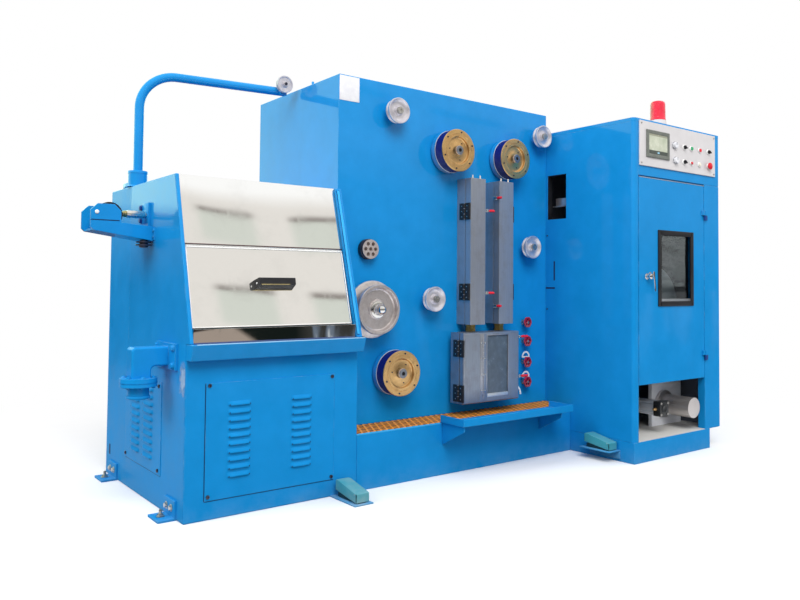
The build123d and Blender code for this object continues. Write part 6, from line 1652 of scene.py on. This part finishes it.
soft_lamp("key lamp", (-1.6, -4.8, 5.4), (0.4, -0.3, 1.3), 3.6, 312.0)
soft_lamp("side lamp", (-5.6, 0.2, 4.4), (-0.6, 0.2, 1.2), 3.0, 165.0)
soft_lamp("door lamp", (4.4, -2.8, 1.7), (1.5, -0.95, 1.1), 1.6, 40.0)


def looked_at(tree):
    """One for what is seen straight, in a mirror or through glass, nought for light that bounces."""
    rays = add(tree, "ShaderNodeLightPath").outputs
    seen = maths(tree, "MAXIMUM", rays["Is Camera Ray"], rays["Is Glossy Ray"])
    return maths(tree, "MAXIMUM", seen, rays["Is Transmission Ray"])


BACKGROUND = (1.0, 1.0, 1.0, 1.0)
FILL_LEVEL = 0.68
world = bpy.data.worlds.new("studio")
bpy.context.scene.world = world
world.use_nodes = True
sky = world.node_tree
sky.nodes["Background"].inputs["Color"].default_value = BACKGROUND
sky_level = ramp(sky, looked_at(sky), 0.0, 1.0, FILL_LEVEL, 1.0)
sky.links.new(sky_level, sky.nodes["Background"].inputs["Strength"])


def stage_piece(name, shape, material):
    """A shape of the stage, which rides on no body."""
    data = bpy.data.meshes.new(name)
    shape.to_mesh(data)
    shape.free()
    data.materials.append(material)
    made = bpy.data.objects.new(name, data)
    bpy.context.scene.collection.objects.link(made)
    return made


def floor_paint():
    """Pale matt floor that fades into the white background a few metres off."""
    material, tree, shader, place = finish_named("pale floor", Roughness=0.9, Specular_IOR_Level=0.0)
    seen = looked_at(tree)
    cloud = ramp(tree, noise(tree, place, 3.0), 0.3, 0.7)
    colour = tint(tree, cloud, linear(250, 250, 250), linear(253, 253, 253))
    connect(tree, shader, Base_Color=tint(tree, seen, linear(150, 150, 150), colour))
    away = vector_maths(tree, "DISTANCE", place, (0.3, -0.2, 0.0))["Value"]
    far_off = maths(tree, "MULTIPLY", ramp(tree, away, 1.5, 3.4), seen)
    white = add(tree, "ShaderNodeEmission", {"Color": BACKGROUND, "Strength": 1.0}).outputs[0]
    blended = add(tree, "ShaderNodeMixShader", {0: far_off, 1: shader.outputs[0], 2: white}).outputs[0]
    tree.links.new(blended, tree.nodes["Material Output"].inputs["Surface"])
    return material


FLOOR_REACH = 60.0
floor_shape = bmesh.new()
bmesh.ops.create_grid(floor_shape, x_segments=1, y_segments=1, size=FLOOR_REACH)
stage_piece("floor", floor_shape, floor_paint())

PANE_PITCH = 0.92
STOREY_RISE = 1.03


def yard_paint():
    """Glowing bands: ground and dark shapes low down, pale panels above, and open light at the back."""
    material = bpy.data.materials.new("yard colours")
    material.use_nodes = True
    tree = material.node_tree
    tree.nodes.remove(tree.nodes["Principled BSDF"])
    place = add(tree, "ShaderNodeTexCoord").outputs["Object"]
    axes = axes_of(tree, place)
    sideways, behind, height = axes["X"], axes["Y"], axes["Z"]
    streaks = noise(tree, stretch(tree, place, (7.0, 7.0, 1.5)), 1.0, 2.0)
    clutter = tint(tree, ramp(tree, streaks, 0.42, 0.5), linear(58, 58, 56), linear(112, 124, 140))
    clutter = tint(tree, ramp(tree, streaks, 0.52, 0.56), clutter, linear(226, 232, 236))
    lean = maths(tree, "ADD", sideways, maths(tree, "MULTIPLY", height, 1.5))
    ground = tint(tree, ramp(tree, lean, 1.54, 1.62), linear(172, 158, 147), linear(24, 30, 28))
    ground = tint(tree, ramp(tree, sideways, 1.42, 1.55), ground, clutter)
    drop = maths(tree, "SUBTRACT", height, maths(tree, "MULTIPLY", sideways, 0.12))
    colour = tint(tree, ramp(tree, drop, 0.392, 0.404), ground, linear(20, 20, 26))
    colour = tint(tree, ramp(tree, height, 0.9, 1.5), colour, linear(148, 148, 146))
    rise = maths(tree, "ADD", height, maths(tree, "MULTIPLY", sideways, 0.33))
    across = maths(tree, "DIVIDE", maths(tree, "SUBTRACT", sideways, 0.8), PANE_PITCH)
    pane = ramp(tree, maths(tree, "PINGPONG", across, 0.5), 0.14, 0.24)
    storey = maths(tree, "FRACT", maths(tree, "DIVIDE", maths(tree, "SUBTRACT", rise, 3.68), STOREY_RISE))
    window = maths(tree, "MULTIPLY", pane, ramp(tree, storey, 0.56, 0.66))
    lintel = maths(tree, "MULTIPLY", pane, ramp(tree, storey, 0.09, 0.04))
    wall = tint(tree, window, linear(230, 226, 221), linear(211, 215, 207))
    wall = tint(tree, lintel, wall, linear(132, 124, 120))
    colour = tint(tree, ramp(tree, height, 1.8, 2.5), colour, wall)
    colour = tint(tree, ramp(tree, rise, 4.88, 5.08), colour, linear(255, 255, 255))
    open_sky = maths(tree, "MULTIPLY", ramp(tree, behind, 1.0, 1.8), ramp(tree, height, 1.46, 1.66))
    colour = tint(tree, open_sky, colour, linear(212, 255, 224))
    shine = maths(tree, "MULTIPLY", open_sky, ramp(tree, height, 2.0, 2.7, 1.7, 0.95))
    shine = maths(tree, "ADD", shine, ramp(tree, height, 1.8, 2.5, 1.0, 1.15))
    glow = add(tree, "ShaderNodeEmission", {"Color": colour, "Strength": shine}).outputs[0]
    tree.links.new(glow, tree.nodes["Material Output"].inputs["Surface"])
    return material


YARD_RADIUS = 4.6
YARD_HEIGHT = 6.5
YARD_STEPS = 72
yard_shape = bmesh.new()
uprights = []
for index in range(YARD_STEPS + 1):
    turn = 2 * math.pi * index / YARD_STEPS
    foot = Vector((YARD_RADIUS * math.cos(turn), YARD_RADIUS * math.sin(turn), 0))
    uprights.append([yard_shape.verts.new(foot + Vector((0, 0, height))) for height in (0.0, YARD_HEIGHT)])
bridge(yard_shape, uprights, closed=False)
yard = stage_piece("yard", yard_shape, yard_paint())
for ray in ("camera", "diffuse", "shadow", "transmission", "volume_scatter"):
    setattr(yard, "visible_" + ray, False)

camera_data = bpy.data.cameras.new("camera")
camera_data.sensor_width = 36.0
camera_data.lens = 34.404
camera_data.shift_x = -0.0482
camera_data.shift_y = -0.0567
camera = bpy.data.objects.new("camera", camera_data)
bpy.context.scene.collection.objects.link(camera)
bpy.context.scene.camera = camera
CAMERA_PLACE = Vector((-2.17567, -3.40408, 0.92435))
CAMERA_YAW = math.radians(38.687)
CAMERA_PITCH = math.radians(2.138)
CAMERA_ROLL = math.radians(0.431)
camera.matrix_world = (
    Matrix.Translation(CAMERA_PLACE)
    @ Matrix.Rotation(-CAMERA_YAW, 4, "Z")
    @ Matrix.Rotation(math.radians(90) + CAMERA_PITCH, 4, "X")
    @ Matrix.Rotation(CAMERA_ROLL, 4, "Z")
)

bpy.context.scene.view_settings.view_transform = "Standard"
